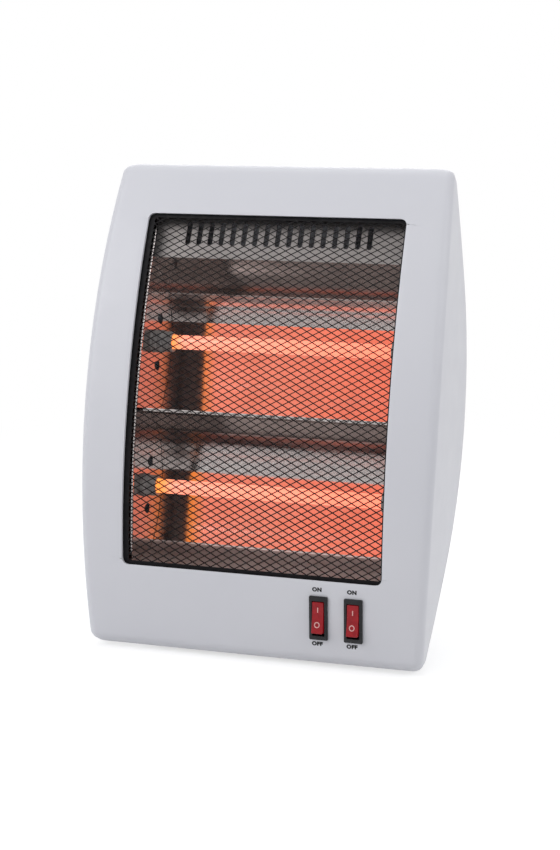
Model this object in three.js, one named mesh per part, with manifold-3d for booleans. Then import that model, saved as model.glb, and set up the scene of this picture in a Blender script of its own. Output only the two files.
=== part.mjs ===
// A portable two-tube quartz (halogen) radiant heater, about 350 mm tall.
//
// A moulded front frame, bowed towards the room and bowed at its sides, holds a black expanded-metal
// grille. Behind the grille a polished two-trough reflector carries two quartz tubes in ceramic caps.
// A rear cover plugs into the back of the frame, has a carrying recess and louvres, and swells into a
// plinth that the heater stands on, leaning back. Two rocker switches sit below the grille.
//
// Millimetres. The housing is drawn in the "leaning" frame: x to the right, y to the back and z along
// the chord of the bowed front, with its origin in the middle of that chord. The plinth and what
// stands on it are drawn in the floor frame: z up from the floor, y from the middle of the housing.
// The whole is shifted at the end, so that its origin lies under the middle of the box round it.

import * as THREE from "three";
import { mergeVertices } from "three/addons/utils/BufferGeometryUtils.js";
import Module from "manifold-3d";

const wasm = await Module();
wasm.setup();

// ---------------------------------------------------------------- driving dimensions

const fit = 0.3; // gap between pieces that touch on the real heater
const lean = THREE.MathUtils.degToRad(13.9); // how far the housing leans back

// housing
const bodyWidth = 260; // across the middle
const sideBow = 5.7; // how much narrower each side is at the ends
const chordHeight = 355;
const frontBulge = 32.5; // front face, middle to ends
const rearDepth = 89; // chord to the rearmost edge of the side walls
const endDepth = 16; // thickness of the housing at its top and bottom ends
const rearSlope = THREE.MathUtils.degToRad(31.4); // of the side walls' rear edge towards the ends
const wall = 2.5;
const sideDraft = 1.5; // each side wall leans in by this much at its rear edge
const frontCorner = 7; // rounding of the front's long edges
const endRound = 7.5; // rounding of the top and bottom ends

// window and grille
const windowHalfWidth = 96;
const windowTopMargin = 39.4;
const windowBottomMargin = 59.2;
const windowCorner = 4.7;
const grilleSheet = 1.0;
const grilleBorder = 3; // plain border that shows inside the window
const grilleLip = 3; // plain border hidden behind the frame
const meshColumns = 7;
const meshRows = 15;
const meshStrand = 2.4; // width of a strand

// reflector
const sheet = 0.9; // reflector, end plates and heat shield
const reflectorSetback = 14; // front edges behind the front face
const reflectorHalfWidth = 93;
const troughBackY = 47.5; // back of the troughs, behind the chord
const flangeOverlap = 6; // reflector sheet that runs on behind the frame, above the window
const switchClearance = 0.4; // lower flange to the switches' housings
const slotPanelHeight = 31.5; // vent panel between the window's top and the upper trough
const ridgeDepth = 37; // fin between the two troughs
const troughSlopeHeight = 40; // height that each sloping side takes
const troughBend = 24;
const ventSlots = 17;
const ventPitch = 8.5;
const ventWidth = 3;
const ventLength = 17;

// heating tubes
const tubeRadius = 5.2;
const tubeWall = 1;
const tubePitch = 106.6; // between the two tubes' axes
const tubeDrop = 1.5; // middle of the two tubes below the ridge
const tubeBackGap = 39.5; // tube axis to the back of the trough
const capInnerEnd = 79.5; // ends of the visible glass, from the middle
const tubeShift = 2.25; // the upper tube sits this far to the right, the lower one to the left
const capRadius = 8.5;
const collarRadius = 7.6;
const coilTurns = 12;
const coilWire = 0.5;
const coilRadius = 2.9;

// rocker switches
const switchPitch = 25.1;
const switchCentreX = 63.6; // middle of the pair
const switchRise = 32.9; // above the bottom end, along the chord
const bezelWidth = 13.4;
const bezelHeight = 32.4;
const bezelThick = 1.8;
const rockerWidth = 8.2;
const rockerHalf = 11.2;
const rockerTilt = THREE.MathUtils.degToRad(10); // each way from level

// rear cover, plinth and base
const coverWall = 2.3;
const coverRecess = 1; // below the side walls' rear edge
const coverSkirt = 8;
const plinthHalfWidth = 82;
const plinthRear = 75; // behind the chord's middle
const plinthRearHeight = 20;
const plinthShoulder = 102; // above the bottom end, where the plinth meets the cover's curve
const footHeight = 3;
const baseThick = 2.2;
const frameClearance = 2.5; // housing's lowest edge above the floor
const handleHalfWidth = 50;
const handleDepth = 22;
const handleBelowTop = 58; // lower edge of the carrying recess under the top end
const handleMouth = 23;
const handleHook = 13; // how far the recess goes up behind its lip

// ---------------------------------------------------------------- materials

const finish = (color, roughness, metalness = 0) =>
  new THREE.MeshStandardMaterial({ color, roughness, metalness });
const materials = {
  shell: finish(0xcfcfd6, 0.45),
  blackSteel: finish(0x141416, 0.5, 0.6),
  mirrorSteel: finish(0xc9c6c4, 0.18, 1),
  zincSteel: finish(0x9c9ea0, 0.45, 1),
  quartz: finish(0xff7a3c, 0.25),
  filament: finish(0xff9a4a, 0.5, 0.8),
  ceramic: finish(0x55504e, 0.8),
  blackPlastic: finish(0x17181a, 0.4),
  redPlastic: finish(0xa81418, 0.2),
  brass: finish(0xb59a55, 0.35, 1),
  rubber: finish(0x1b1b1b, 0.9),
  wireSleeve: finish(0xe8e4dc, 0.7),
};

// ---------------------------------------------------------------- solids

// A closed geometry as a solid that can be cut and joined.
function solid(geometry) {
  const bare = geometry.index ? geometry.toNonIndexed() : geometry.clone();
  for (const name of Object.keys(bare.attributes)) if (name !== "position") bare.deleteAttribute(name);
  const merged = mergeVertices(bare, 1e-4);
  return new wasm.Manifold(
    new wasm.Mesh({
      numProp: 3,
      vertProperties: merged.attributes.position.array,
      triVerts: new Uint32Array(merged.index.array),
    }),
  );
}

function geometryOf(body) {
  const mesh = body.getMesh();
  const stride = mesh.numProp;
  const points = new Float32Array(mesh.numVert * 3);
  for (let i = 0; i < mesh.numVert; i++)
    points.set(mesh.vertProperties.subarray(i * stride, i * stride + 3), i * 3);
  const geometry = new THREE.BufferGeometry()
    .setAttribute("position", new THREE.BufferAttribute(points, 3))
    .setIndex(new THREE.BufferAttribute(mesh.triVerts, 1));
  geometry.computeVertexNormals();
  return geometry;
}

const join = (first, ...others) => geometryOf(others.reduce((body, g) => body.add(solid(g)), solid(first)));
const cut = (first, ...others) =>
  geometryOf(others.reduce((body, g) => body.subtract(solid(g)), solid(first)));

// A box between two corners.
function box(x0, x1, y0, y1, z0, z1) {
  return new THREE.BoxGeometry(x1 - x0, y1 - y0, z1 - z0).translate(
    (x0 + x1) / 2,
    (y0 + y1) / 2,
    (z0 + z1) / 2,
  );
}

const rodX = (r, x0, x1, y, z, sides = 20) =>
  new THREE.CylinderGeometry(r, r, x1 - x0, sides).rotateZ(-Math.PI / 2).translate((x0 + x1) / 2, y, z);
const rodY = (r, y0, y1, x, z, sides = 16) =>
  new THREE.CylinderGeometry(r, r, y1 - y0, sides).translate(x, (y0 + y1) / 2, z);
const rodZ = (r, z0, z1, x, y, sides = 16) =>
  new THREE.CylinderGeometry(r, r, z1 - z0, sides).rotateX(Math.PI / 2).translate(x, y, (z0 + z1) / 2);

// A solid of revolution about z from [radius, z] points, its profile closed on the axis or on itself.
const turned = (profile, sides = 20) =>
  new THREE.LatheGeometry(
    profile.map(([r, z]) => new THREE.Vector2(r, z)),
    sides,
  ).rotateX(Math.PI / 2);

// A solid skinned over rings of equally many points. The rings run upwards, each one anticlockwise
// seen from above, and the first and last are closed with flat ends.
function loft(rings) {
  const count = rings[0].length;
  const position = rings.flat().flatMap((p) => [p.x, p.y, p.z]);
  const index = [];
  for (let level = 0; level < rings.length - 1; level++)
    for (let i = 0; i < count; i++) {
      const a = level * count + i;
      const b = level * count + ((i + 1) % count);
      index.push(a, b, b + count, a, b + count, a + count);
    }
  const flat = (ring) => ring.map((p) => new THREE.Vector2(p.x, p.y));
  const top = (rings.length - 1) * count;
  for (const [a, b, c] of THREE.ShapeUtils.triangulateShape(flat(rings[0]), [])) index.push(c, b, a);
  for (const [a, b, c] of THREE.ShapeUtils.triangulateShape(flat(rings.at(-1)), []))
    index.push(top + a, top + b, top + c);
  return new THREE.BufferGeometry()
    .setAttribute("position", new THREE.Float32BufferAttribute(position, 3))
    .setIndex(index);
}

// A profile of [y, z] points, extruded along x between two planes.
function extrudeX(profile, x0, x1) {
  const shape = new THREE.Shape(profile.map(([y, z]) => new THREE.Vector2(y, z)));
  return new THREE.ExtrudeGeometry(shape, { depth: x1 - x0, bevelEnabled: false })
    .applyMatrix4(new THREE.Matrix4().set(0, 0, 1, x0, 1, 0, 0, 0, 0, 1, 0, 0, 0, 0, 0, 1));
}

// A profile in x and z, extruded along y.
function extrudeY(shape, y0, y1, steps = 4) {
  return new THREE.ExtrudeGeometry(shape, { depth: y1 - y0, bevelEnabled: false, curveSegments: steps })
    .rotateX(Math.PI / 2)
    .translate(0, y1, 0);
}

function roundedRect(x0, x1, z0, z1, r) {
  const s = new THREE.Shape();
  s.moveTo(x0 + r, z0).lineTo(x1 - r, z0).absarc(x1 - r, z0 + r, r, -Math.PI / 2, 0);
  s.lineTo(x1, z1 - r).absarc(x1 - r, z1 - r, r, 0, Math.PI / 2);
  s.lineTo(x0 + r, z1).absarc(x0 + r, z1 - r, r, Math.PI / 2, Math.PI);
  s.lineTo(x0, z0 + r).absarc(x0 + r, z0 + r, r, Math.PI, 1.5 * Math.PI);
  return s;
}

// The points of a bent line: its corners are rounded to a radius in a few steps.
function bentLine(corners, radius, steps = 4) {
  const points = [corners[0]];
  for (let i = 1; i < corners.length - 1; i++) {
    const here = new THREE.Vector2(...corners[i]);
    const back = new THREE.Vector2(...corners[i - 1]).sub(here);
    const ahead = new THREE.Vector2(...corners[i + 1]).sub(here);
    const reach = Math.min(radius, 0.45 * back.length(), 0.45 * ahead.length());
    const from = here.clone().addScaledVector(back.normalize(), reach);
    const to = here.clone().addScaledVector(ahead.normalize(), reach);
    const curve = new THREE.QuadraticBezierCurve(from, here, to);
    for (const p of curve.getPoints(steps)) points.push([p.x, p.y]);
  }
  points.push(corners.at(-1));
  return points;
}

// A line of [y, z] points thickened to its left by a sheet's thickness, as a closed profile.
function thickened(line, thickness) {
  const offset = line.map((point, i) => {
    const before = line[Math.max(i - 1, 0)];
    const after = line[Math.min(i + 1, line.length - 1)];
    const along = new THREE.Vector2(after[0] - before[0], after[1] - before[1]).normalize();
    return [point[0] - along.y * thickness, point[1] + along.x * thickness];
  });
  return [...line, ...offset.reverse()];
}

// A tube of a few flat sides along a curve, closed at both ends.
function tubeAlong(curve, radius, sides, steps) {
  const centre = new THREE.Vector2();
  const corner = (i) => new THREE.Vector2(radius, 0).rotateAround(centre, (2 * Math.PI * i) / sides);
  const section = new THREE.Shape(Array.from({ length: sides }, (_, i) => corner(i)));
  return new THREE.ExtrudeGeometry(section, { steps, bevelEnabled: false, extrudePath: curve });
}

// An unbroken coil of round wire about the x axis.
class Coil extends THREE.Curve {
  constructor(length, radius, turns) {
    super();
    Object.assign(this, { length, radius, turns });
  }
  getPoint(t, target = new THREE.Vector3()) {
    const angle = 2 * Math.PI * this.turns * t;
    return target.set(this.length * t, this.radius * Math.cos(angle), this.radius * Math.sin(angle));
  }
}
function coil(name, length, radius, wire, turns) {
  const curve = new Coil(length, radius, turns);
  const points = Array.from({ length: turns * 24 + 1 }, (_, i) => curve.getPoint(i / (turns * 24)));
  let least = Infinity;
  points.forEach((p, i) => {
    for (const q of points.slice(i + 12)) least = Math.min(least, p.distanceTo(q));
  });
  console.log(`${name}: least gap between turns ${(least - 2 * wire).toFixed(2)} mm`);
  return tubeAlong(curve, wire, 5, turns * 8);
}

// ---------------------------------------------------------------- the housing's shape

const halfChord = chordHeight / 2;
const arcRadius = (halfLength, rise) => (halfLength ** 2 + rise ** 2) / (2 * rise);
const frontRadius = arcRadius(halfChord, frontBulge);
const sideRadius = arcRadius(halfChord, sideBow);
const rearRadius =
  (endDepth - rearDepth + Math.tan(rearSlope) * halfChord) / (1 / Math.cos(rearSlope) - 1);
const rearTangent = rearRadius * Math.sin(rearSlope);

const frontY = (z) => frontRadius - frontBulge - Math.sqrt(frontRadius ** 2 - z ** 2);
const halfWidth = (z) => bodyWidth / 2 - sideRadius + Math.sqrt(sideRadius ** 2 - z ** 2);
function rearY(z) {
  const reach = Math.abs(z);
  if (reach <= rearTangent) return rearDepth - rearRadius + Math.sqrt(rearRadius ** 2 - reach ** 2);
  return endDepth + Math.tan(rearSlope) * (halfChord - reach);
}
// Half the outside width at a height and a depth, with the side walls' draft.
const sideX = (z, y) => halfWidth(z) - (sideDraft * (y - frontY(z))) / (rearY(z) - frontY(z));

// How far a rounded end of a given radius has drawn in at a height.
function drawIn(z, end, radius) {
  const into = Math.abs(z) - (end - radius);
  return into <= 0 ? 0 : radius - Math.sqrt(Math.max(radius ** 2 - into ** 2, 0));
}

// Heights for the rings of a loft: even between the ends, and close together round each end.
function levels(end, radius, between, round) {
  const heights = [];
  const rounded = (i) => end - radius + radius * Math.sin((i / round) * (Math.PI / 2));
  for (let i = round; i > 0; i--) heights.push(-rounded(i));
  for (let i = 0; i <= between; i++) heights.push((-1 + (2 * i) / between) * (end - radius));
  for (let i = 1; i <= round; i++) heights.push(rounded(i));
  return heights;
}

// One ring of the housing: straight sides, two rounded front corners and a square rear, which a cavity
// carries beyond the side walls' rear edge to cut it open.
function housingRing(z, { inset, end, round, beyond, corner, cornerSteps }) {
  const drawn = drawIn(z, end, round);
  const front = frontY(z) + inset + drawn;
  const back = beyond > 0 ? rearY(z) + beyond : rearY(z) - drawn;
  const across = halfWidth(z) - inset - drawn;
  const backAcross = sideX(z, back) - inset - drawn;
  const deep = Math.min(corner, 0.8 * (back - front));
  const ring = [];
  for (const side of [-1, 1])
    for (let i = 0; i <= cornerSteps; i++) {
      const turn = ((side < 0 ? i : cornerSteps - i) / cornerSteps) * (Math.PI / 2);
      const x = across - corner * (1 - Math.cos(turn));
      ring.push(new THREE.Vector3(side * x, front + deep * (1 - Math.sin(turn)), z));
    }
  ring.push(new THREE.Vector3(backAcross, back, z), new THREE.Vector3(-backAcross, back, z));
  return ring;
}

const outerShape = {
  inset: 0,
  end: halfChord,
  round: endRound,
  beyond: 0,
  corner: frontCorner,
  cornerSteps: 4,
};
const cavityShape = {
  inset: wall,
  end: halfChord - wall,
  round: endRound - wall,
  beyond: 3 * wall,
  corner: frontCorner - wall,
  cornerSteps: 3,
};
const outerLevels = levels(halfChord, endRound, 14, 3);
const housingOutside = () => loft(outerLevels.map((z) => housingRing(z, outerShape)));
const housingCavity = () =>
  loft(levels(cavityShape.end, cavityShape.round, 14, 2).map((z) => housingRing(z, cavityShape)));

// ---------------------------------------------------------------- where the housing stands

// From the leaning frame to the floor frame: lean back, centre front to back, lift off the floor.
const leaned = (y, z) => [
  y * Math.cos(lean) + z * Math.sin(lean),
  -y * Math.sin(lean) + z * Math.cos(lean),
];
const outline = outerLevels
  .flatMap((z) => housingRing(z, outerShape))
  .map((p) => leaned(p.y, p.z));
const frontmost = Math.min(...outline.map(([y]) => y));
const rearmost = Math.max(...outline.map(([y]) => y));
const lowest = Math.min(...outline.map(([, z]) => z));
const backShift = -(frontmost + rearmost) / 2;
const lift = frameClearance - lowest;

const leaning = new THREE.Group();
leaning.position.set(0, backShift, lift);
leaning.rotation.x = -lean;
leaning.updateMatrix();
const standing = new THREE.Group();
const heater = new THREE.Group();
heater.add(leaning, standing);

// Geometry drawn in the floor frame, moved into the leaning frame.
const intoLeaning = (geometry) => geometry.applyMatrix4(leaning.matrix.clone().invert());

function add(group, name, geometry, material) {
  const mesh = new THREE.Mesh(geometry, material);
  mesh.name = name;
  group.add(mesh);
  return mesh;
}

// A pan-head screw along y: the head's seat is at y, and the shank runs towards the front.
const screwHead = { radius: 3.2, height: 1.8 };
const shankRadius = 1.5;
function screwY(x, seat, z, shank) {
  const profile = [
    [0, -shank],
    [shankRadius, -shank],
    [shankRadius, 0],
    [screwHead.radius, 0],
    [screwHead.radius, 0.6 * screwHead.height],
    [0.5 * screwHead.radius, screwHead.height],
    [0, screwHead.height],
  ];
  return turned(profile, 8).rotateX(-Math.PI / 2).translate(x, seat, z);
}

// ---------------------------------------------------------------- front frame

const windowTop = halfChord - windowTopMargin;
const windowBottom = -halfChord + windowBottomMargin;
const pilotRadius = shankRadius + fit;
const bossRadius = 4;

// Screws that hold the rear cover: four in the corners, and two half way up the sides.
const cornerScrew = { x: bodyWidth / 2 - sideBow - 14.3, z: halfChord - 29.5, seatBelow: 9 };
const sideScrew = { x: bodyWidth / 2 - wall - 9, z: 8, seatBelow: 8 };
const mirrored = (screw, sx, sz = 1) => ({ ...screw, x: sx * screw.x, z: sz * screw.z });
const coverScrews = [
  ...[-1, 1].flatMap((sx) => [-1, 1].map((sz) => mirrored(cornerScrew, sx, sz))),
  ...[-1, 1].map((sx) => mirrored(sideScrew, sx)),
];
const coverSkin = (z) => rearY(z) - drawIn(z, halfChord, endRound) - coverRecess; // its outside
const seatY = (screw) => coverSkin(screw.z) - screw.seatBelow;
const seatThick = 2.4;
const coverBossEnd = (screw) => seatY(screw) - seatThick;

// Screws that hold the reflector's side flanges.
const flangeScrewX = reflectorHalfWidth + 17;
const flangeScrews = [-1, 1].flatMap((sx) =>
  [windowTop - 45, windowBottom + 42].map((z) => ({ x: sx * flangeScrewX, z })),
);
const flangeY = (z) => frontY(z) + reflectorSetback;

// Turns a piece drawn about y = 0 so that it stands square to the bowed face at a height.
const faceTilt = (z) => -Math.asin(z / frontRadius);
const onFace = (geometry, x, z) => geometry.rotateX(faceTilt(z)).translate(x, frontY(z), z);
const flangeDepth = (z) => reflectorSetback * Math.cos(faceTilt(z));

const switchZ = -halfChord + switchRise;
const switchXs = { left: switchCentreX - switchPitch / 2, right: switchCentreX + switchPitch / 2 };
const bodyHalf = { x: bezelWidth / 2 - 0.9, z: bezelHeight / 2 - 2 };

function frontFrame() {
  let body = solid(housingOutside()).subtract(solid(housingCavity()));
  const opening = roundedRect(-windowHalfWidth, windowHalfWidth, windowBottom, windowTop, windowCorner);
  body = body.subtract(solid(extrudeY(opening, -frontBulge - 5, wall + 12)));
  for (const x of Object.values(switchXs)) {
    const [hx, hz] = [bodyHalf.x + fit, bodyHalf.z + fit];
    body = body.subtract(solid(onFace(box(-hx, hx, -6, 8, -hz, hz), x, switchZ)));
  }
  const boss = (x, y0, y1, z) => {
    body = body.add(solid(rodY(bossRadius, y0, y1, x, z, 10)));
    body = body.subtract(solid(rodY(pilotRadius, y1 - 12, y1 + 1, x, z, 8)));
  };
  for (const s of coverScrews.slice(0, 4))
    boss(s.x, frontY(s.z) + wall / 2, coverBossEnd(s) - fit, s.z);
  for (const s of coverScrews.slice(4)) {
    const end = coverBossEnd(s) - fit;
    const wallX = Math.sign(s.x) * (sideX(s.z, end) - wall / 2);
    const [x0, x1] = [s.x, wallX].sort((a, b) => a - b);
    body = body.add(solid(box(x0, x1, end - 22, end, s.z - 1.5, s.z + 1.5)));
    boss(s.x, end - 22, end, s.z);
  }
  for (const { x, z } of flangeScrews) {
    const end = flangeDepth(z) - fit;
    body = body.add(solid(onFace(rodY(bossRadius, wall / 2, end, 0, 0, 10), x, z)));
    body = body.subtract(solid(onFace(rodY(pilotRadius, wall + 1, end + 1, 0, 0, 8), x, z)));
  }
  return geometryOf(body);
}
add(leaning, "front_frame", frontFrame(), materials.shell);

// ---------------------------------------------------------------- grille

// One diamond opening as clockwise points [x, z], less the corners that would reach past the border.
function diamond(x, z, reachX, reachZ, halfX, lowZ, highZ) {
  const corners = [
    [x + reachX, z],
    [x, z - reachZ],
    [x - reachX, z],
    [x, z + reachZ],
  ];
  const hairline = 1e-3;
  return corners.filter(
    ([a, b]) => Math.abs(a) < halfX + hairline && b > lowZ - hairline && b < highZ + hairline,
  );
}

// The expanded sheet: staggered diamonds in a plain border, bowed to follow the front face, with a
// return along each side that runs back to the reflector's flange.
function grille() {
  const halfX = windowHalfWidth - grilleBorder;
  const lowZ = windowBottom + grilleBorder;
  const highZ = windowTop - grilleBorder;
  const pitchX = (2 * halfX) / meshColumns;
  const pitchZ = (highZ - lowZ) / meshRows;
  const shrink = 1 - (meshStrand * Math.hypot(pitchX, pitchZ)) / (pitchX * pitchZ);
  const diamonds = [];
  for (let row = 0; row <= 2 * meshRows; row++)
    for (let column = row % 2 ? 0 : 0.5; column <= meshColumns; column++) {
      const [x, z] = [-halfX + column * pitchX, lowZ + (row * pitchZ) / 2];
      const reach = [(shrink * pitchX) / 2, (shrink * pitchZ) / 2];
      diamonds.push(diamond(x, z, ...reach, halfX, lowZ, highZ));
    }
  const outerX = windowHalfWidth + grilleLip;
  const sideHeights = [lowZ - grilleBorder - grilleLip];
  for (let row = 0; row <= meshRows; row++) sideHeights.push(lowZ + row * pitchZ);
  sideHeights.push(highZ + grilleBorder + grilleLip);
  const outline = [
    ...sideHeights.map((z) => [outerX, z]),
    ...sideHeights.toReversed().map((z) => [-outerX, z]),
  ];
  const faceY = wall + fit + 0.2;
  const face = geometryOf(wasm.Manifold.extrude([outline, ...diamonds], grilleSheet))
    .rotateX(Math.PI / 2)
    .translate(0, faceY + grilleSheet, 0);
  const points = face.getAttribute("position");
  for (let i = 0; i < points.count; i++) points.setY(i, points.getY(i) + frontY(points.getZ(i)));
  const arcLine = (depth) => sideHeights.map((z) => [frontY(z) + depth, z]);
  const profile = [
    ...arcLine(faceY + grilleSheet / 2),
    ...arcLine(reflectorSetback - 2 * fit).reverse(),
  ];
  return join(
    face,
    extrudeX(profile, outerX - grilleSheet, outerX),
    extrudeX(profile, -outerX, -outerX + grilleSheet),
  );
}
add(leaning, "grille", grille(), materials.blackSteel);

// ---------------------------------------------------------------- reflector

const upperTroughTop = windowTop - slotPanelHeight;
const ridgeZ = (upperTroughTop + windowBottom) / 2;
const ridgeFrontY = flangeY(ridgeZ);
const slopeStart = ridgeFrontY + ridgeDepth;
const troughCorners = (far) => {
  const away = Math.sign(far - ridgeZ);
  const near = ridgeZ + away * (sheet + fit / 2);
  return [
    [ridgeFrontY, near],
    [slopeStart, near],
    [troughBackY, ridgeZ + away * troughSlopeHeight],
    [troughBackY, far - away * troughSlopeHeight],
    [flangeY(far), far],
  ];
};

function upperReflector() {
  const end = windowTop + flangeOverlap;
  const bent = bentLine([...troughCorners(upperTroughTop), [flangeY(end), end]], troughBend);
  let body = solid(
    extrudeX(thickened(bent, -sheet), -reflectorHalfWidth + fit, reflectorHalfWidth - fit),
  );
  const slotMiddle = windowTop - 13.2;
  for (let i = 0; i < ventSlots; i++) {
    const x = (i - (ventSlots - 1) / 2) * ventPitch;
    const slot = roundedRect(
      x - ventWidth / 2,
      x + ventWidth / 2,
      slotMiddle - ventLength / 2,
      slotMiddle + ventLength / 2,
      ventWidth / 2 - 0.01,
    );
    body = body.subtract(solid(extrudeY(slot, -frontBulge, troughBackY, 1)));
  }
  return geometryOf(body);
}
add(leaning, "reflector_upper", upperReflector(), materials.mirrorSteel);

function lowerReflector() {
  // Its lower flange ends just above the switches' housings.
  const tilt = faceTilt(switchZ);
  const switchTop = switchZ + bodyHalf.z * Math.cos(tilt) + (reflectorSetback + sheet) * Math.sin(tilt);
  const end = switchTop + switchClearance;
  const line = [...troughCorners(windowBottom), [flangeY(end), end]];
  return extrudeX(
    thickened(bentLine(line, troughBend), sheet),
    -reflectorHalfWidth + fit,
    reflectorHalfWidth - fit,
  );
}
add(leaning, "reflector_lower", lowerReflector(), materials.mirrorSteel);

// ---------------------------------------------------------------- end plates

const tubeY = troughBackY - tubeBackGap;
const tubes = {
  upper: { z: ridgeZ - tubeDrop + tubePitch / 2, shift: tubeShift },
  lower: { z: ridgeZ - tubeDrop - tubePitch / 2, shift: -tubeShift },
};
const shieldY = troughBackY + sheet + 5;
const plateTop = windowTop + 4;
const plateBottom = windowBottom - 9;
const coverInside = (z) => coverSkin(z) - coverWall;

// Oval vents above and below each cap, a little behind the tube.
const plateVent = { away: 17.5, behind: 10, halfHeight: 3.7, stretch: 1.5 };

function endPlate(side) {
  const heights = Array.from({ length: 11 }, (_, i) => plateBottom + (i / 10) * (plateTop - plateBottom));
  const frontLine = heights.map((z) => [flangeY(z), z]);
  const rearLine = heights.map((z) => [Math.min(shieldY - fit, coverInside(z) - 5), z]);
  const profile = [...frontLine, ...rearLine.reverse()];
  const inner = reflectorHalfWidth;
  const flange = [...frontLine, ...heights.map((z) => [flangeY(z) + sheet, z]).reverse()];
  const flangeReach = flangeScrewX + 6;
  const spans = (a, b) => [Math.min(side * a, side * b), Math.max(side * a, side * b)];
  let body = solid(extrudeX(profile, ...spans(inner, inner + sheet)));
  body = body.add(solid(extrudeX(flange, ...spans(inner, flangeReach))));
  for (const { z } of Object.values(tubes)) {
    body = body.subtract(solid(rodX(capRadius + fit, ...spans(inner - 5, inner + 5), tubeY, z, 16)));
    for (const away of [-plateVent.away, plateVent.away]) {
      const vent = rodX(plateVent.halfHeight, ...spans(inner - 5, inner + 5), 0, 0, 8);
      vent.scale(1, plateVent.stretch, 1).translate(0, tubeY + plateVent.behind, z + away);
      body = body.subtract(solid(vent));
    }
  }
  for (const { x, z } of flangeScrews.filter((s) => Math.sign(s.x) === side))
    body = body.subtract(
      solid(onFace(rodY(pilotRadius, flangeDepth(z) - 4, flangeDepth(z) + 5, 0, 0, 8), x, z)),
    );
  return geometryOf(body);
}
add(leaning, "end_plate_left", endPlate(-1), materials.mirrorSteel);
add(leaning, "end_plate_right", endPlate(1), materials.mirrorSteel);

flangeScrews.forEach(({ x, z }, i) => {
  const screw = onFace(screwY(0, flangeDepth(z) + sheet + fit, 0, 9), x, z);
  add(leaning, `flange_screw_${i + 1}`, screw, materials.zincSteel);
});

// A pressed sheet between the hot reflector and the rear cover, stiffened by two grooves.
function heatShield() {
  const slopeUp = (shieldY + sheet + 5 - coverInside(halfChord - endRound)) / Math.tan(rearSlope);
  const top = Math.min(halfChord - endRound - slopeUp, upperTroughTop);
  const bottom = -top;
  const groove = 3;
  const line = [[shieldY, bottom]];
  for (const z of [bottom + 30, top - 30])
    line.push(
      [shieldY, z - 2 * groove],
      [shieldY + groove, z - groove / 2],
      [shieldY + groove, z + groove / 2],
      [shieldY, z + 2 * groove],
    );
  line.push([shieldY, top]);
  return extrudeX(thickened(line, -sheet), -reflectorHalfWidth - 8, reflectorHalfWidth + 8);
}
add(leaning, "heat_shield", heatShield(), materials.zincSteel);

// ---------------------------------------------------------------- tubes, coils and caps

const capLength = 30;
const capMouth = 5;
const studLength = 7;
function ceramicCap() {
  // From the inner end, z = 0, outwards. The glass sits in the collar's mouth.
  const mouth = tubeRadius + fit;
  return turned(
    [
      [0, capMouth],
      [mouth, capMouth],
      [mouth, 0],
      [collarRadius, 0],
      [collarRadius, 7],
      [capRadius - 1, 7.6],
      [capRadius, 8.6],
      [capRadius, capLength - 6],
      [capRadius - 2.5, capLength - 4],
      [capRadius - 2.5, capLength],
      [0, capLength],
    ],
    12,
  );
}
const terminalStud = () =>
  turned(
    [
      [0, 0],
      [3.6, 0],
      [3.6, 2.2],
      [1.7, 2.4],
      [1.7, studLength],
      [0, studLength],
    ],
    8,
  );

for (const [level, { z, shift }] of Object.entries(tubes)) {
  const glassEnd = capInnerEnd + 4;
  const glass = cut(
    rodX(tubeRadius, -glassEnd + shift, glassEnd + shift, tubeY, z, 20),
    rodX(tubeRadius - tubeWall, -glassEnd + shift - 1, glassEnd + shift + 1, tubeY, z, 14),
  );
  add(leaning, `quartz_tube_${level}`, glass, materials.quartz);
  const coilEnd = capInnerEnd + capMouth - fit - coilWire;
  const name = `heating_coil_${level}`;
  const filament = coil(name, 2 * coilEnd, coilRadius, coilWire, coilTurns);
  add(leaning, name, filament.translate(-coilEnd + shift, tubeY, z), materials.filament);
  for (const [side, sign] of [["left", -1], ["right", 1]]) {
    const place = (geometry, from) =>
      geometry.rotateY((sign * Math.PI) / 2).translate(sign * (capInnerEnd + from) + shift, tubeY, z);
    add(leaning, `ceramic_cap_${level}_${side}`, place(ceramicCap(), 0), materials.ceramic);
    add(leaning, `terminal_${level}_${side}`, place(terminalStud(), capLength + fit), materials.zincSteel);
  }
}

// ---------------------------------------------------------------- rocker switches

// In the switch's own frame the panel's face is y = 0 and the room is towards -y.
const pivotY = 3;
const switchDeep = 20;
const rockerGap = 0.35;
const mouthHalf = { x: rockerWidth / 2 + rockerGap, z: rockerHalf + 1.6 };
const pinRadius = 1;
const pinReach = 0.9;

function switchHousing() {
  const { x: hx, z: hz } = bodyHalf;
  const [bx, bz] = [bezelWidth / 2, bezelHeight / 2];
  const bezel = box(-bx, bx, -fit - bezelThick, -fit, -bz, bz);
  const body = box(-hx, hx, -fit - 0.5, switchDeep, -hz, hz);
  const cavity = box(-mouthHalf.x, mouthHalf.x, -10, 11, -mouthHalf.z, mouthHalf.z);
  const boreEnd = rockerWidth / 2 + pinReach + rockerGap;
  const bores = rodX(pinRadius + rockerGap, -boreEnd, boreEnd, pivotY, 0, 12);
  return geometryOf(solid(bezel).add(solid(body)).subtract(solid(cavity)).subtract(solid(bores)));
}

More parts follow.
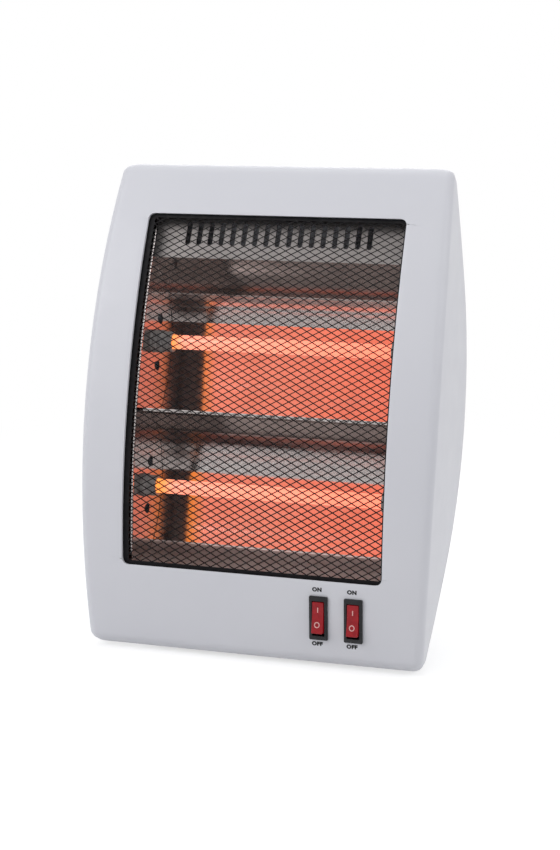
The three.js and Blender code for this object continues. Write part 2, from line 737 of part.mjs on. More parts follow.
// The rocker: a shallow valley on its face, a rounded belly below and a pin at each side.
function rocker() {
  const faceEnd = -4.4 - pivotY;
  const faceMiddle = -3.4 - pivotY;
  const face = new THREE.QuadraticBezierCurve(
    new THREE.Vector2(faceEnd, -rockerHalf),
    new THREE.Vector2(2 * faceMiddle - faceEnd, 0),
    new THREE.Vector2(faceEnd, rockerHalf),
  ).getPoints(8);
  const belly = [
    [-3.6, rockerHalf],
    [1.2, 7],
    [3.6, 2.4],
    [3.6, -2.4],
    [1.2, -7],
    [-3.6, -rockerHalf],
  ];
  const profile = [...face.map((p) => [p.x, p.y]), ...belly];
  const pins = rodX(pinRadius, -rockerWidth / 2 - pinReach, rockerWidth / 2 + pinReach, 0, 0, 12);
  return join(extrudeX(profile, -rockerWidth / 2, rockerWidth / 2), pins);
}

for (const [side, x] of Object.entries(switchXs)) {
  const place = new THREE.Group();
  place.position.set(x, frontY(switchZ), switchZ);
  place.rotation.x = faceTilt(switchZ);
  leaning.add(place);
  add(place, `switch_housing_${side}`, switchHousing(), materials.blackPlastic);
  // At rest the rocker is pressed at its top: ON.
  const pressed = add(place, `rocker_${side}`, rocker(), materials.redPlastic);
  pressed.position.y = pivotY;
  pressed.rotation.x = -rockerTilt;
  for (const [end, z] of [["top", 8], ["bottom", -8]])
    add(
      place,
      `switch_spade_${side}_${end}`,
      box(-3.1, 3.1, switchDeep + fit, switchDeep + 8, z - 0.4, z + 0.4),
      materials.brass,
    );
}

// ---------------------------------------------------------------- rear cover with plinth

const coverEnd = halfChord - wall - fit;
const coverRound = endRound - wall - fit;

// One ring of the rear cover, drawn in by an inset, its front edge moved forward to cut it open.
function coverRing(z, inset, forward) {
  const back = coverSkin(z) - inset;
  const front = coverSkin(z) - coverSkirt - forward;
  const drawn = drawIn(z, coverEnd - inset, Math.max(coverRound - inset, 0.5));
  const across = sideX(z, rearY(z)) - wall - fit - inset - drawn;
  const r = 1.5;
  return [
    new THREE.Vector3(-across, front, z),
    new THREE.Vector3(across, front, z),
    new THREE.Vector3(across, back - r, z),
    new THREE.Vector3(across - r, back, z),
    new THREE.Vector3(-across + r, back, z),
    new THREE.Vector3(-across, back - r, z),
  ];
}
function coverLoft(inset, forward) {
  const heights = levels(coverEnd - inset, Math.max(coverRound - inset, 0.5), 14, 2);
  return loft(heights.map((z) => coverRing(z, inset, forward)));
}

// The plinth's side outline in the floor frame, drawn in by its wall for the inside.
const floorY = (y) => y + backShift;
const floorPoint = (y, z) => [leaned(y, z)[0] + backShift, leaned(y, z)[1] + lift];
const plinthFrontY = floorPoint(coverSkin(-coverEnd), -coverEnd)[0] + 5;
const shoulderZ = -halfChord + plinthShoulder;
function plinthOutline(inset) {
  const rear = floorY(plinthRear) - inset;
  const front = plinthFrontY + inset;
  const low = inset > 0 ? -5 : footHeight;
  const meet = floorPoint(coverSkin(shoulderZ) - 1 - 1.3 * inset, shoulderZ - inset);
  const heel = new THREE.QuadraticBezierCurve(
    new THREE.Vector2(rear, plinthRearHeight),
    new THREE.Vector2(rear - 3, plinthRearHeight + 34),
    new THREE.Vector2(...meet),
  );
  const upFront = floorPoint(coverSkin(-coverEnd + 14) - coverSkirt, -coverEnd + 14);
  return [
    [front, low],
    [rear, low],
    ...heel.getPoints(7).map((p) => [p.x, p.y]),
    floorPoint(coverSkin(shoulderZ) - coverSkirt, shoulderZ - inset),
    [Math.max(upFront[0], front), upFront[1]],
  ];
}

const handleLow = halfChord - handleBelowTop;
const handleHigh = handleLow + handleMouth;
const louvres = [
  { rows: 6, from: handleLow - 16, step: -9 },
  { rows: 4, from: -34, step: -9 },
];
const louvreHalf = 46; // half a louvre's length
const louvreRise = 2; // half its height
const inletX = 48;
const inletZ = 13;
const inletRadius = 4.6;
const baseScrews = [-1, 1].flatMap((sx) =>
  [plinthFrontY + 8, floorY(plinthRear) - 9].map((y) => ({ x: sx * (plinthHalfWidth - 5.5), y })),
);

function rearCover() {
  const skin = solid(coverLoft(0, 0));
  const hollow = solid(coverLoft(coverWall, 20));
  const plinth = intoLeaning(extrudeX(plinthOutline(0), -plinthHalfWidth, plinthHalfWidth));
  const inner = plinthHalfWidth - coverWall;
  const plinthHollow = intoLeaning(extrudeX(plinthOutline(coverWall), -inner, inner));
  let body = skin.add(solid(plinth)).subtract(hollow).subtract(solid(plinthHollow));
  // Bosses inside the plinth for the base plate.
  for (const s of baseScrews) {
    const top = s.y < 0 ? 15 : 24;
    body = body.add(solid(intoLeaning(rodZ(4.2, footHeight + baseThick + fit, top, s.x, s.y, 10))));
    body = body.subtract(solid(intoLeaning(rodZ(pilotRadius, 0, top - 3, s.x, s.y, 8))));
  }
  // Carrying recess: a pocket that goes up behind its upper lip.
  const pocketTop = handleHigh + handleHook;
  const deep = (z) => coverSkin(z) - handleDepth;
  const lip = (z) => coverSkin(z) - 2 * coverWall;
  const pocketWall = [handleLow - coverWall, pocketTop + coverWall];
  const pocketOutside = [
    ...pocketWall.map((z) => [coverSkin(z) - 1, z]),
    ...pocketWall.toReversed().map((z) => [deep(z) - coverWall, z]),
  ];
  const pocketInside = [
    [deep(handleLow), handleLow],
    [coverSkin(handleLow) + 5, handleLow],
    [coverSkin(handleHigh) + 5, handleHigh],
    [lip(handleHigh), handleHigh],
    [lip(pocketTop), pocketTop],
    [deep(pocketTop), pocketTop],
  ];
  const across = handleHalfWidth + coverWall;
  body = body.add(solid(extrudeX(pocketOutside, -across, across)));
  body = body.subtract(solid(extrudeX(pocketInside, -handleHalfWidth, handleHalfWidth)));
  // Louvres, cut as rows of long slots either side of the middle.
  for (const { rows, from, step } of louvres)
    for (let i = 0; i < rows; i++)
      for (const side of [-1, 1]) {
        const z = from + i * step;
        const middle = side * (louvreHalf + 5);
        const [x0, x1] = [middle - louvreHalf, middle + louvreHalf];
        const slot = box(x0, x1, coverSkin(z) - coverWall - 4, rearDepth, z - louvreRise, z + louvreRise);
        body = body.subtract(solid(slot));
      }
  // Screw seats, trimmed to the cover's outside.
  const filled = solid(coverLoft(0, 20));
  for (const s of coverScrews) {
    const column = solid(rodY(5.6, coverBossEnd(s), rearDepth, s.x, s.z, 10));
    body = body.add(filled.intersect(column));
    body = body.subtract(solid(rodY(3.9, seatY(s), rearDepth + 5, s.x, s.z, 10)));
    body = body.subtract(solid(rodY(pilotRadius + 0.2, coverBossEnd(s) - 3, seatY(s) + 1, s.x, s.z, 8)));
  }
  // Hole for the mains lead.
  const rear = floorY(plinthRear);
  body = body.subtract(solid(intoLeaning(rodY(inletRadius + fit, rear - 8, rear + 5, inletX, inletZ, 12))));
  return geometryOf(body);
}
add(leaning, "rear_cover", rearCover(), materials.shell);

coverScrews.forEach((s, i) =>
  add(leaning, `cover_screw_${i + 1}`, screwY(s.x, seatY(s) + fit, s.z, 11), materials.zincSteel),
);

// A bush that lines the hole for the mains lead.
function inletBush() {
  const rear = floorY(plinthRear);
  const profile = [
    [3, -coverWall - 1.5],
    [inletRadius, -coverWall - 1.5],
    [inletRadius, fit],
    [inletRadius + 1.8, fit],
    [inletRadius + 1.8, 1.6],
    [3, 2.4],
    [3, -coverWall - 1.5],
  ];
  return turned(profile, 12).rotateX(-Math.PI / 2).translate(inletX, rear, inletZ);
}
add(standing, "cord_inlet_bush", inletBush(), materials.rubber);

// ---------------------------------------------------------------- base plate, feet, tip-over switch

const baseTop = footHeight + baseThick;
const footX = plinthHalfWidth - 18;
const footYs = { front: plinthFrontY + 12, rear: floorY(plinthRear) - 12 };
const plungerX = -44;
const plungerY = floorY(22);
const plungerRadius = 3.8;
const collar = { radius: 5.2, low: 12.2, high: 13.4 };

function basePlate() {
  const gap = coverWall + fit;
  let body = solid(
    box(
      -plinthHalfWidth + gap,
      plinthHalfWidth - gap,
      plinthFrontY + gap,
      floorY(plinthRear) - gap,
      footHeight,
      baseTop,
    ),
  );
  const drill = (r, x, y) => {
    body = body.subtract(solid(rodZ(r, 0, baseTop + 2, x, y, 10)));
  };
  for (const s of baseScrews) drill(pilotRadius, s.x, s.y);
  for (const y of Object.values(footYs)) for (const sx of [-1, 1]) drill(2.8, sx * footX, y);
  drill(plungerRadius + 0.4, plungerX, plungerY);
  return geometryOf(body);
}
add(standing, "base_plate", basePlate(), materials.blackPlastic);

for (const [end, y] of Object.entries(footYs))
  for (const [side, sx] of [["left", -1], ["right", 1]]) {
    const foot = turned(
      [
        [0, 0],
        [6.4, 0],
        [7, 0.6],
        [7, footHeight - fit],
        [2.5, footHeight - fit],
        [2.5, baseTop + 0.6],
        [0, baseTop + 0.6],
      ],
      12,
    );
    add(standing, `foot_${end}_${side}`, foot.translate(sx * footX, y, 0), materials.rubber);
  }

baseScrews.forEach((s, i) => {
  const screw = screwY(0, 0, 0, 9).rotateX(-Math.PI / 2).translate(s.x, s.y, footHeight - fit + 0.1);
  add(standing, `base_screw_${i + 1}`, screw, materials.zincSteel);
});

// The tip-over switch: the floor holds its plunger up, and a spring pushes it out when lifted.
const springRoom = 6.4;
function tipSwitchBody() {
  const low = baseTop + fit;
  const high = collar.high + springRoom + 3;
  const bore = collar.radius + 0.4;
  return cut(
    box(plungerX - 9, plungerX + 9, plungerY - 8, plungerY + 8, low, high),
    rodZ(bore, low - 1, collar.high + springRoom + 2 * fit, plungerX, plungerY, 16),
  );
}
add(standing, "tip_switch_body", tipSwitchBody(), materials.blackPlastic);

const plunger = turned(
  [
    [0, 0],
    [2.6, 0],
    [plungerRadius, 1.4],
    [plungerRadius, collar.low],
    [collar.radius, collar.low],
    [collar.radius, collar.high],
    [0, collar.high],
  ],
  16,
).translate(plungerX, plungerY, 0);
add(standing, "tip_plunger", plunger, materials.redPlastic);

const springWire = 0.45;
const spring = coil("tip_spring", springRoom - 2 * springWire - fit, 3.7, springWire, 3)
  .rotateY(-Math.PI / 2)
  .translate(plungerX, plungerY, collar.high + fit + springWire);
add(standing, "tip_spring", spring, materials.zincSteel);

// ---------------------------------------------------------------- wiring behind the reflector

// Terminal block on the base plate, where the mains lead would end.
const block = { y: floorY(plinthRear) - 38, top: baseTop + 13, pitch: 11, halfWidth: 17, wayDepth: 6 };
function terminalBlock() {
  let body = solid(
    box(
      inletX - block.halfWidth,
      inletX + block.halfWidth,
      block.y - 8,
      block.y + 8,
      baseTop + fit,
      block.top,
    ),
  );
  for (let i = -1; i <= 1; i++) {
    const way = rodZ(2.6, block.top - block.wayDepth, block.top + 1, inletX + i * block.pitch, block.y, 10);
    body = body.subtract(solid(way));
  }
  return geometryOf(body);
}
add(standing, "terminal_block", terminalBlock(), materials.wireSleeve);

// Thermal cut-out: a disc on the back of the heat shield with a tab at each side.
const cutout = { x: 0, z: ridgeZ + 25, radius: 8, deep: 7, tabY: shieldY + sheet + fit + 9 };
function thermalCutout() {
  const y0 = shieldY + sheet + fit;
  const { x, z, radius, deep, tabY } = cutout;
  return join(
    rodY(radius, y0, y0 + deep, x, z, 20),
    box(x - 12, x + 12, y0, y0 + 0.9, z - 4, z + 4),
    box(x - 5, x - 2, y0 + deep - 1, tabY, z - 0.5, z + 0.5),
    box(x + 2, x + 5, y0 + deep - 1, tabY, z - 0.5, z + 0.5),
  );
}
add(leaning, "thermal_cutout", thermalCutout(), materials.zincSteel);

// A sleeved wire through points of the leaning frame.
const wireRadius = 1.2;
const wire = (points) =>
  tubeAlong(new THREE.CatmullRomCurve3(points), wireRadius, 6, 2 * (points.length - 1));
const at = (x, y, z) => new THREE.Vector3(x, y, z);
// Beside a tube's stud, above it or below it.
const studX = (level, sign) =>
  sign * (capInnerEnd + capLength + fit + (2.4 + studLength) / 2) + tubes[level].shift;
const atStud = (level, sign, away) => at(studX(level, sign), tubeY, tubes[level].z + away * (1.7 + fit));
// Behind a switch's spade, by a distance along it.
const behindSpade = (side, z, distance) =>
  at(0, switchDeep + 8 + distance, z)
    .applyAxisAngle(new THREE.Vector3(1, 0, 0), faceTilt(switchZ))
    .add(at(switchXs[side], frontY(switchZ), switchZ));
// In a way of the terminal block, by a height above its bottom, brought in from the floor frame.
const inBlock = (way, height) =>
  at(inletX + way * block.pitch, block.y, block.top - block.wayDepth + height).applyMatrix4(
    leaning.matrix.clone().invert(),
  );
// Between the heat shield and the rear cover, nearer the cover.
const behindShield = (x, z) => at(x, THREE.MathUtils.lerp(shieldY + sheet, coverInside(z), 0.64), z);
const leftX = studX("upper", -1);
const rightX = studX("lower", 1);
const belowPlates = plateBottom - 6;
const wireGap = 0.6; // from a wire's end to the tab it is crimped to

const wires = {
  wire_left_link: [
    atStud("upper", -1, -1),
    at(leftX - 4, tubeY - 2, ridgeZ + 15),
    at(leftX - 6, tubeY - 2, ridgeZ - 25),
    atStud("lower", -1, 1),
  ],
  wire_neutral: [
    atStud("lower", -1, -1),
    at(leftX, tubeY + 14, tubes.lower.z - 30),
    at(leftX + 15, tubeY + 22, belowPlates + 4),
    at(-60, tubeY + 34, belowPlates + 8),
    at(-10, tubeY + 48, belowPlates + 8),
    inBlock(-1, 14),
    inBlock(-1, fit),
  ],
  wire_upper: [
    atStud("upper", 1, -1),
    at(rightX + 8, tubeY + 3, ridgeZ),
    at(rightX + 8, tubeY + 4, tubes.lower.z),
    at(rightX + 5, tubeY + 4, tubes.lower.z - 30),
    at(reflectorHalfWidth + 14, tubeY + 4, plateBottom + 5),
    at(reflectorHalfWidth + 3, tubeY + 5, belowPlates),
    behindSpade("right", 8, 9).add(at(8, 0, -3)),
    behindSpade("right", 8, 6),
    behindSpade("right", 8, wireGap),
  ],
  wire_lower: [
    atStud("lower", 1, -1),
    at(rightX + 1, tubeY + 14, tubes.lower.z - 28),
    at(reflectorHalfWidth + 14, tubeY + 24, plateBottom + 11),
    at(reflectorHalfWidth + 1, tubeY + 23, belowPlates),
    at(switchXs.right - 2, tubeY + 25, belowPlates + 3),
    behindSpade("left", 8, 9).add(at(5, 0, 0)),
    behindSpade("left", 8, 5),
    behindSpade("left", 8, wireGap),
  ],
  wire_supply: [
    inBlock(1, fit),
    inBlock(1, 16),
    behindShield(50, shoulderZ - 8),
    behindShield(30, shoulderZ + 30),
    behindShield(10, cutout.z - 18),
    at(cutout.x + 3.5, cutout.tabY + 5, cutout.z - 3),
    at(cutout.x + 3.5, cutout.tabY + fit, cutout.z),
  ],
  wire_live: [
    at(cutout.x - 3.5, cutout.tabY + fit, cutout.z),
    at(cutout.x - 3.5, cutout.tabY + 5, cutout.z - 3),
    behindShield(-6, cutout.z - 30),
    behindShield(0, shoulderZ - 12),
    at(26, 44, belowPlates + 14),
    behindSpade("left", -8, 14).add(at(-5, 0, 3)),
    behindSpade("left", -8, 6).add(at(-1.8, 0, 0)),
    behindSpade("left", -8, wireGap).add(at(-1.8, 0, 0)),
  ],
  wire_bridge: [
    behindSpade("left", -8, wireGap).add(at(1.8, 0, 0)),
    behindSpade("left", -8, 5).add(at(2.6, 0, 0)),
    behindSpade("right", -8, 5).add(at(-0.8, 0, 0)),
    behindSpade("right", -8, wireGap),
  ],
};
for (const [name, points] of Object.entries(wires))
  add(leaning, name, wire(points), materials.wireSleeve);

heater.position.y = -new THREE.Box3().setFromObject(heater, true).getCenter(new THREE.Vector3()).y;

export default heater;
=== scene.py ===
import math

import bmesh
import bpy
from mathutils import Matrix, Vector


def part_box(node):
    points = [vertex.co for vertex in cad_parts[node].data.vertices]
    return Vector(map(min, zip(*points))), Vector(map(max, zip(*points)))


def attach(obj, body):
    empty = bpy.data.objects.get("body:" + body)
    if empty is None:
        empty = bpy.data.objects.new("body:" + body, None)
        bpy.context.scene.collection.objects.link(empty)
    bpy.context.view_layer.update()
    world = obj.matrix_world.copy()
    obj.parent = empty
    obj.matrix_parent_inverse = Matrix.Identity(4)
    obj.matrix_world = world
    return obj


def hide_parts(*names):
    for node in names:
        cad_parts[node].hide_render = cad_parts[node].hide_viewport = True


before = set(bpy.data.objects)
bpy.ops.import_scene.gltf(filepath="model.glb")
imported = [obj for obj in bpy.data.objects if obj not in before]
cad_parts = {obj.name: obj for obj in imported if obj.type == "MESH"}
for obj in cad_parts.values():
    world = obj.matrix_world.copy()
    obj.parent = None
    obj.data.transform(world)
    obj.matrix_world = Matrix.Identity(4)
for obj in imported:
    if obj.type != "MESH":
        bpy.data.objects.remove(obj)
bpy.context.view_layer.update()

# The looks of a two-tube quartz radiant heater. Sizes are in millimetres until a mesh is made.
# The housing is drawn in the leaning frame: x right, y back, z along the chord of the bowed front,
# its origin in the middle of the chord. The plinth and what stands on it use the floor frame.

MM = 0.001
BODY = "heater"

# ---------------------------------------------------------------- sizes, as in the CAD model

LEAN = math.radians(13.9)
BODY_WIDTH, CHORD = 260.0, 355.0
SIDE_BOW, FRONT_BULGE = 5.7, 32.5
REAR_DEPTH, END_DEPTH, REAR_SLOPE = 89.0, 16.0, math.radians(31.4)
WALL, SIDE_DRAFT, FRONT_CORNER, END_ROUND = 2.5, 1.5, 7.0, 7.5
FIT = 0.3

WINDOW_X, WINDOW_TOP, WINDOW_BOTTOM, WINDOW_CORNER = 96.0, 138.1, -118.3, 4.7
SETBACK, REFLECTOR_X, TROUGH_BACK, SHEET = 14.0, 93.0, 47.5, 0.9
UPPER_TOP, RIDGE_Z = 106.6, -5.85
TUBE_Y, TUBE_RADIUS, CAP_INNER_END, CAP_LENGTH = 8.0, 5.2, 79.5, 30.0
TUBES = {"upper": (45.95, 2.25), "lower": (-60.65, -2.25)}  # height, shift to the right
SWITCH_Z, SWITCH_X = -144.6, {"left": 51.05, "right": 76.15}
BEZEL_X, BEZEL_Z, BEZEL_THICK = 13.4, 32.4, 1.8
ROCKER_WIDTH, ROCKER_HALF, PIVOT_Y, ROCKER_TILT = 8.2, 11.2, 3.0, math.radians(10)

HALF_CHORD = CHORD / 2


def arc_radius(half_length, rise):
    return (half_length**2 + rise**2) / (2 * rise)


FRONT_RADIUS = arc_radius(HALF_CHORD, FRONT_BULGE)
SIDE_RADIUS = arc_radius(HALF_CHORD, SIDE_BOW)
REAR_RADIUS = (END_DEPTH - REAR_DEPTH + math.tan(REAR_SLOPE) * HALF_CHORD) / (
    1 / math.cos(REAR_SLOPE) - 1
)
REAR_TANGENT = REAR_RADIUS * math.sin(REAR_SLOPE)


def front_y(z):
    return FRONT_RADIUS - FRONT_BULGE - math.sqrt(FRONT_RADIUS**2 - z * z)


def half_width(z):
    return BODY_WIDTH / 2 - SIDE_RADIUS + math.sqrt(SIDE_RADIUS**2 - z * z)


def rear_y(z):
    if abs(z) <= REAR_TANGENT:
        return REAR_DEPTH - REAR_RADIUS + math.sqrt(REAR_RADIUS**2 - z * z)
    return END_DEPTH + math.tan(REAR_SLOPE) * (HALF_CHORD - abs(z))


def side_x(z, y):
    return half_width(z) - SIDE_DRAFT * (y - front_y(z)) / (rear_y(z) - front_y(z))


def draw_in(z, end, radius):
    """How far a rounded end of this radius has drawn in at a height."""
    into = abs(z) - (end - radius)
    return 0.0 if into <= 0 else radius - math.sqrt(max(radius**2 - into**2, 0))


def face_tilt(z):
    return -math.asin(z / FRONT_RADIUS)


# ---------------------------------------------------------------- frames


def leaned(y, z):
    """Where a point of the leaning frame stands, measured from that frame's origin."""
    return y * math.cos(LEAN) + z * math.sin(LEAN), -y * math.sin(LEAN) + z * math.cos(LEAN)


def lowest_of_housing():
    """The housing's frontmost y and lowest z once it leans, before it is placed."""
    heights = [HALF_CHORD - END_ROUND + END_ROUND * math.sin(i / 3 * math.pi / 2) for i in range(4)]
    heights = [-h for h in heights] + [(-1 + 2 * i / 14) * (HALF_CHORD - END_ROUND) for i in range(15)]
    points = []
    for z in heights:
        drawn = draw_in(z, HALF_CHORD, END_ROUND)
        points += [leaned(front_y(z) + drawn, z), leaned(rear_y(z) - drawn, z)]
    return min(p[0] for p in points), min(p[1] for p in points)


housing_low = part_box("front_frame")[0]
front_most, lowest = lowest_of_housing()
ORIGIN = Vector((0, housing_low.y - front_most * MM, housing_low.z - lowest * MM))
LEANING = Matrix.Translation(ORIGIN) @ Matrix.Rotation(-LEAN, 4, "X") @ Matrix.Scale(MM, 4)
FLOOR = Matrix.Translation((0, ORIGIN.y, 0)) @ Matrix.Scale(MM, 4)


def on_face(x, z):
    """A frame on the bowed front face: its y runs into the housing, square to the face."""
    return LEANING @ Matrix.Translation((x, front_y(z), z)) @ Matrix.Rotation(face_tilt(z), 4, "X")


# ---------------------------------------------------------------- making pieces


def as_mesh(name, bm):
    """A bmesh as a mesh with its faces turned outwards. The bmesh is freed."""
    bmesh.ops.recalc_face_normals(bm, faces=bm.faces)
    mesh = bpy.data.meshes.new(name)
    bm.to_mesh(mesh)
    bm.free()
    return mesh


def in_scene(name, data):
    obj = bpy.data.objects.new(name, data)
    bpy.context.scene.collection.objects.link(obj)
    return obj


def evaluated(obj):
    """The object's mesh with its modifiers applied."""
    graph = bpy.context.evaluated_depsgraph_get()
    return bpy.data.meshes.new_from_object(obj.evaluated_get(graph))


def taken(obj, merge=0.0):
    """An object's evaluated shape as a bmesh, close points merged. The object is removed."""
    mesh = evaluated(obj)
    bpy.data.objects.remove(obj)
    bm = bmesh.new()
    bm.from_mesh(mesh)
    if merge:
        bmesh.ops.remove_doubles(bm, verts=bm.verts, dist=merge)
    return bm


def smoothed(mesh, sharp):
    mesh.shade_smooth()
    mesh.set_sharp_from_angle(angle=math.radians(sharp))


def piece(name, bm, matrix, material, replaces=(), body=BODY, sharp=32, shown_smooth=True):
    """A bmesh in millimetres as an object that rides on a body."""
    mesh = as_mesh(name, bm)
    mesh.transform(matrix)
    if shown_smooth:
        smoothed(mesh, sharp)
    mesh.materials.append(material)
    obj = in_scene(name, mesh)
    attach(obj, body)
    if replaces:
        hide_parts(*replaces)
    return obj


def lofted(rings):
    """A skin over rings of points that have the same count, with a face at each end."""
    bm = bmesh.new()
    rings = [[bm.verts.new(point) for point in ring] for ring in rings]
    for a, b in zip(rings, rings[1:]):
        for i in range(len(a)):
            j = (i + 1) % len(a)
            bm.faces.new((a[i], a[j], b[j], b[i]))
    bm.faces.new(rings[0])
    bm.faces.new(rings[-1])
    return bm


def bm_box(x0, x1, y0, y1, z0, z1):
    return lofted([[(x0, y0, z), (x1, y0, z), (x1, y1, z), (x0, y1, z)] for z in (z0, z1)])


def bm_extrude_x(profile, x0, x1):
    """A closed [y, z] profile as a solid between two planes."""
    return lofted([[(x, y, z) for y, z in profile] for x in (x0, x1)])


def add_to(bm, other, matrix=None):
    """Adds another bmesh's geometry to bm, and frees the other."""
    if matrix is not None:
        bmesh.ops.transform(other, matrix=matrix, verts=other.verts)
    mesh = bpy.data.meshes.new("part")
    other.to_mesh(mesh)
    other.free()
    bm.from_mesh(mesh)
    bpy.data.meshes.remove(mesh)
    return bm


def bm_lathe(profile, sides=40):
    """A solid of revolution about z from [radius, z] points, closed on the axis or on itself."""
    bm = bmesh.new()
    turns = [2 * math.pi * i / sides for i in range(sides)]
    rings = []
    for r, z in profile:
        points = [(r * math.cos(a), r * math.sin(a), z) for a in turns] if r > 1e-6 else [(0, 0, z)]
        rings.append([bm.verts.new(point) for point in points])
    closed = len(rings[0]) > 1 and len(rings[-1]) > 1
    pairs = list(zip(rings, rings[1:])) + ([(rings[-1], rings[0])] if closed else [])
    for low, high in pairs:
        for i in range(sides):
            j = (i + 1) % sides
            corners = [low[i % len(low)], low[j % len(low)], high[j % len(high)], high[i % len(high)]]
            distinct = list(dict.fromkeys(corners))
            if len(distinct) >= 3:
                bm.faces.new(distinct)
    return bm


def rod(radius, low, high):
    """The [radius, z] points of a plain rod."""
    return [(0, low), (radius, low), (radius, high), (0, high)]


def softened(profile, radius, steps=3):
    """A [r, z] profile with its inner corners rounded."""
    points = [profile[0]]
    for before, here, after in zip(profile, profile[1:], profile[2:]):
        h, b, a = Vector(here), Vector(before), Vector(after)
        reach = min(radius, 0.45 * (b - h).length, 0.45 * (a - h).length)
        start, end = h + (b - h).normalized() * reach, h + (a - h).normalized() * reach
        for i in range(steps + 1):
            t = i / steps
            points.append(tuple((1 - t) ** 2 * start + 2 * t * (1 - t) * h + t * t * end))
    points.append(profile[-1])
    return points


def thickened(line, thickness):
    """A line of [y, z] points with a sheet's thickness to its left, as a closed profile."""
    offset = []
    for i, point in enumerate(line):
        a, b = line[max(i - 1, 0)], line[min(i + 1, len(line) - 1)]
        along = (Vector(b) - Vector(a)).normalized()
        offset.append((point[0] - along.y * thickness, point[1] + along.x * thickness))
    return list(line) + offset[::-1]


def arc_steps(count):
    """Angles of a quarter turn."""
    return [i / count * math.pi / 2 for i in range(count + 1)]


def full_turn(count):
    """Angles of a whole turn, its end left out."""
    return [2 * math.pi * i / count for i in range(count)]


def rounded_outline(half_x, half_z, radius, steps=6):
    """The [x, z] points of a rectangle with rounded corners."""
    outline = []
    for corner, (cx, cz) in enumerate(((1, 1), (-1, 1), (-1, -1), (1, -1))):
        for a in arc_steps(steps):
            a += corner * math.pi / 2
            x = cx * (half_x - radius) + radius * math.cos(a)
            outline.append((x, cz * (half_z - radius) + radius * math.sin(a)))
    return outline


def bevel(bm, edges, width, segments=3):
    limits = {"profile": 0.5, "affect": "EDGES", "clamp_overlap": True}
    bmesh.ops.bevel(bm, geom=list(edges), offset=width, segments=segments, **limits)


# ---------------------------------------------------------------- materials


def add_node(tree, kind, output, sockets, **settings):
    """A new shader node's output. Its sockets are linked to outputs or set to values."""
    node = tree.nodes.new("ShaderNode" + kind)
    for setting, value in settings.items():
        setattr(node, setting, value)
    for key, value in sockets.items():
        socket = node.inputs[key]
        if isinstance(value, bpy.types.NodeSocket):
            tree.links.new(value, socket)
        else:
            socket.default_value = (*value, 1) if socket.type == "RGBA" else value
    return node.outputs[output]


class Finish:
    """A Principled material whose colour, roughness and relief come from noise in object space."""

    def __init__(self, name, **constants):
        self.material = bpy.data.materials.new(name)
        self.material.use_nodes = True
        self.tree = self.material.node_tree
        self.shader = self.tree.nodes["Principled BSDF"]
        self.place = self.node("TexCoord", "Object", {})
        for socket, value in constants.items():
            self.shader.inputs[socket.replace("_", " ")].default_value = value

    def node(self, kind, output, sockets, **settings):
        return add_node(self.tree, kind, output, sockets, **settings)

    def feed(self, socket, value):
        self.tree.links.new(value, self.shader.inputs[socket])
        return self

    def noise(self, scale, detail=3.0, stretch=(1, 1, 1)):
        place = self.node("Mapping", "Vector", {"Vector": self.place, "Scale": stretch})
        return self.node("TexNoise", "Fac", {"Vector": place, "Scale": scale, "Detail": detail})

    def ranged(self, value, low, high, from_low=0.3, from_high=0.7):
        limits = {"From Min": from_low, "From Max": from_high, "To Min": low, "To Max": high}
        return self.node("MapRange", "Result", {"Value": value, **limits})

    def mixed(self, factor, a, b):
        return self.node("Mix", 2, {0: factor, 6: a, 7: b}, data_type="RGBA")

    def patches(self, a, b, scale, detail=3.0):
        """Two colours in soft patches."""
        return self.mixed(self.ranged(self.noise(scale, detail), 0, 1), a, b)

    def colours(self, a, b, scale, detail=3.0):
        return self.feed("Base Color", self.patches(a, b, scale, detail))

    def roughness(self, low, high, scale, stretch=(1, 1, 1)):
        return self.feed("Roughness", self.ranged(self.noise(scale, 4.0, stretch), low, high))

    def relief(self, *layers):
        """Bump from layers of (noise output, strength, distance in metres)."""
        previous = {}
        for value, strength, distance in layers:
            sockets = {"Height": value, "Strength": strength, "Distance": distance}
            normal = self.node("Bump", "Normal", {**sockets, **previous})
            previous = {"Normal": normal}
        return self.feed("Normal", normal)


def plain_finish(name, colours, roughness, grain=None, **constants):
    """Two colours and a roughness range, with a grain of (scale, detail, strength, distance)."""
    f = Finish(name, **constants).colours(*colours).roughness(*roughness)
    if grain:
        scale, detail, strength, distance = grain
        f.relief((f.noise(scale, detail), strength, distance))
    return f.material


def shell_plastic():
    """Satin light grey moulded plastic with a very fine spark-eroded grain."""
    f = Finish("shell_plastic", Specular_IOR_Level=0.45)
    f.colours((0.655, 0.655, 0.70), (0.675, 0.675, 0.715), 9).roughness(0.36, 0.46, 60)
    return f.relief((f.noise(1700, 2), 0.10, 0.0001), (f.noise(14, 1), 0.04, 0.0006)).material


def polished_steel(name, dull=0.0, shade=1.0):
    """Bright rolled sheet: faint rolling lines along x, and the slow waves of thin metal."""
    f = Finish(name, Metallic=1.0)
    tints = [tuple(shade * c for c in tint) for tint in ((0.51, 0.47, 0.46), (0.57, 0.525, 0.51))]
    f.colours(*tints, 35, 2).roughness(0.09 + dull, 0.17 + dull, 260, (0.06, 1, 1))
    lines = f.noise(1500, 3, (0.015, 1, 1))
    return f.relief((lines, 0.05, 0.0001), (f.noise(26, 1), 0.10, 0.0012)).material


def ceramic():
    """Fired ceramic, unglazed, darkened by heat and speckled."""
    f = Finish("ceramic", Specular_IOR_Level=0.4)
    speckle = f.ranged(f.noise(1100, 2), 0, 1, 0.58, 0.66)
    base = f.patches((0.24, 0.22, 0.215), (0.44, 0.41, 0.395), 160, 4)
    f.feed("Base Color", f.mixed(speckle, base, (0.52, 0.50, 0.49))).roughness(0.35, 0.6, 300)
    return f.relief((f.noise(700, 4), 0.5, 0.0003)).material


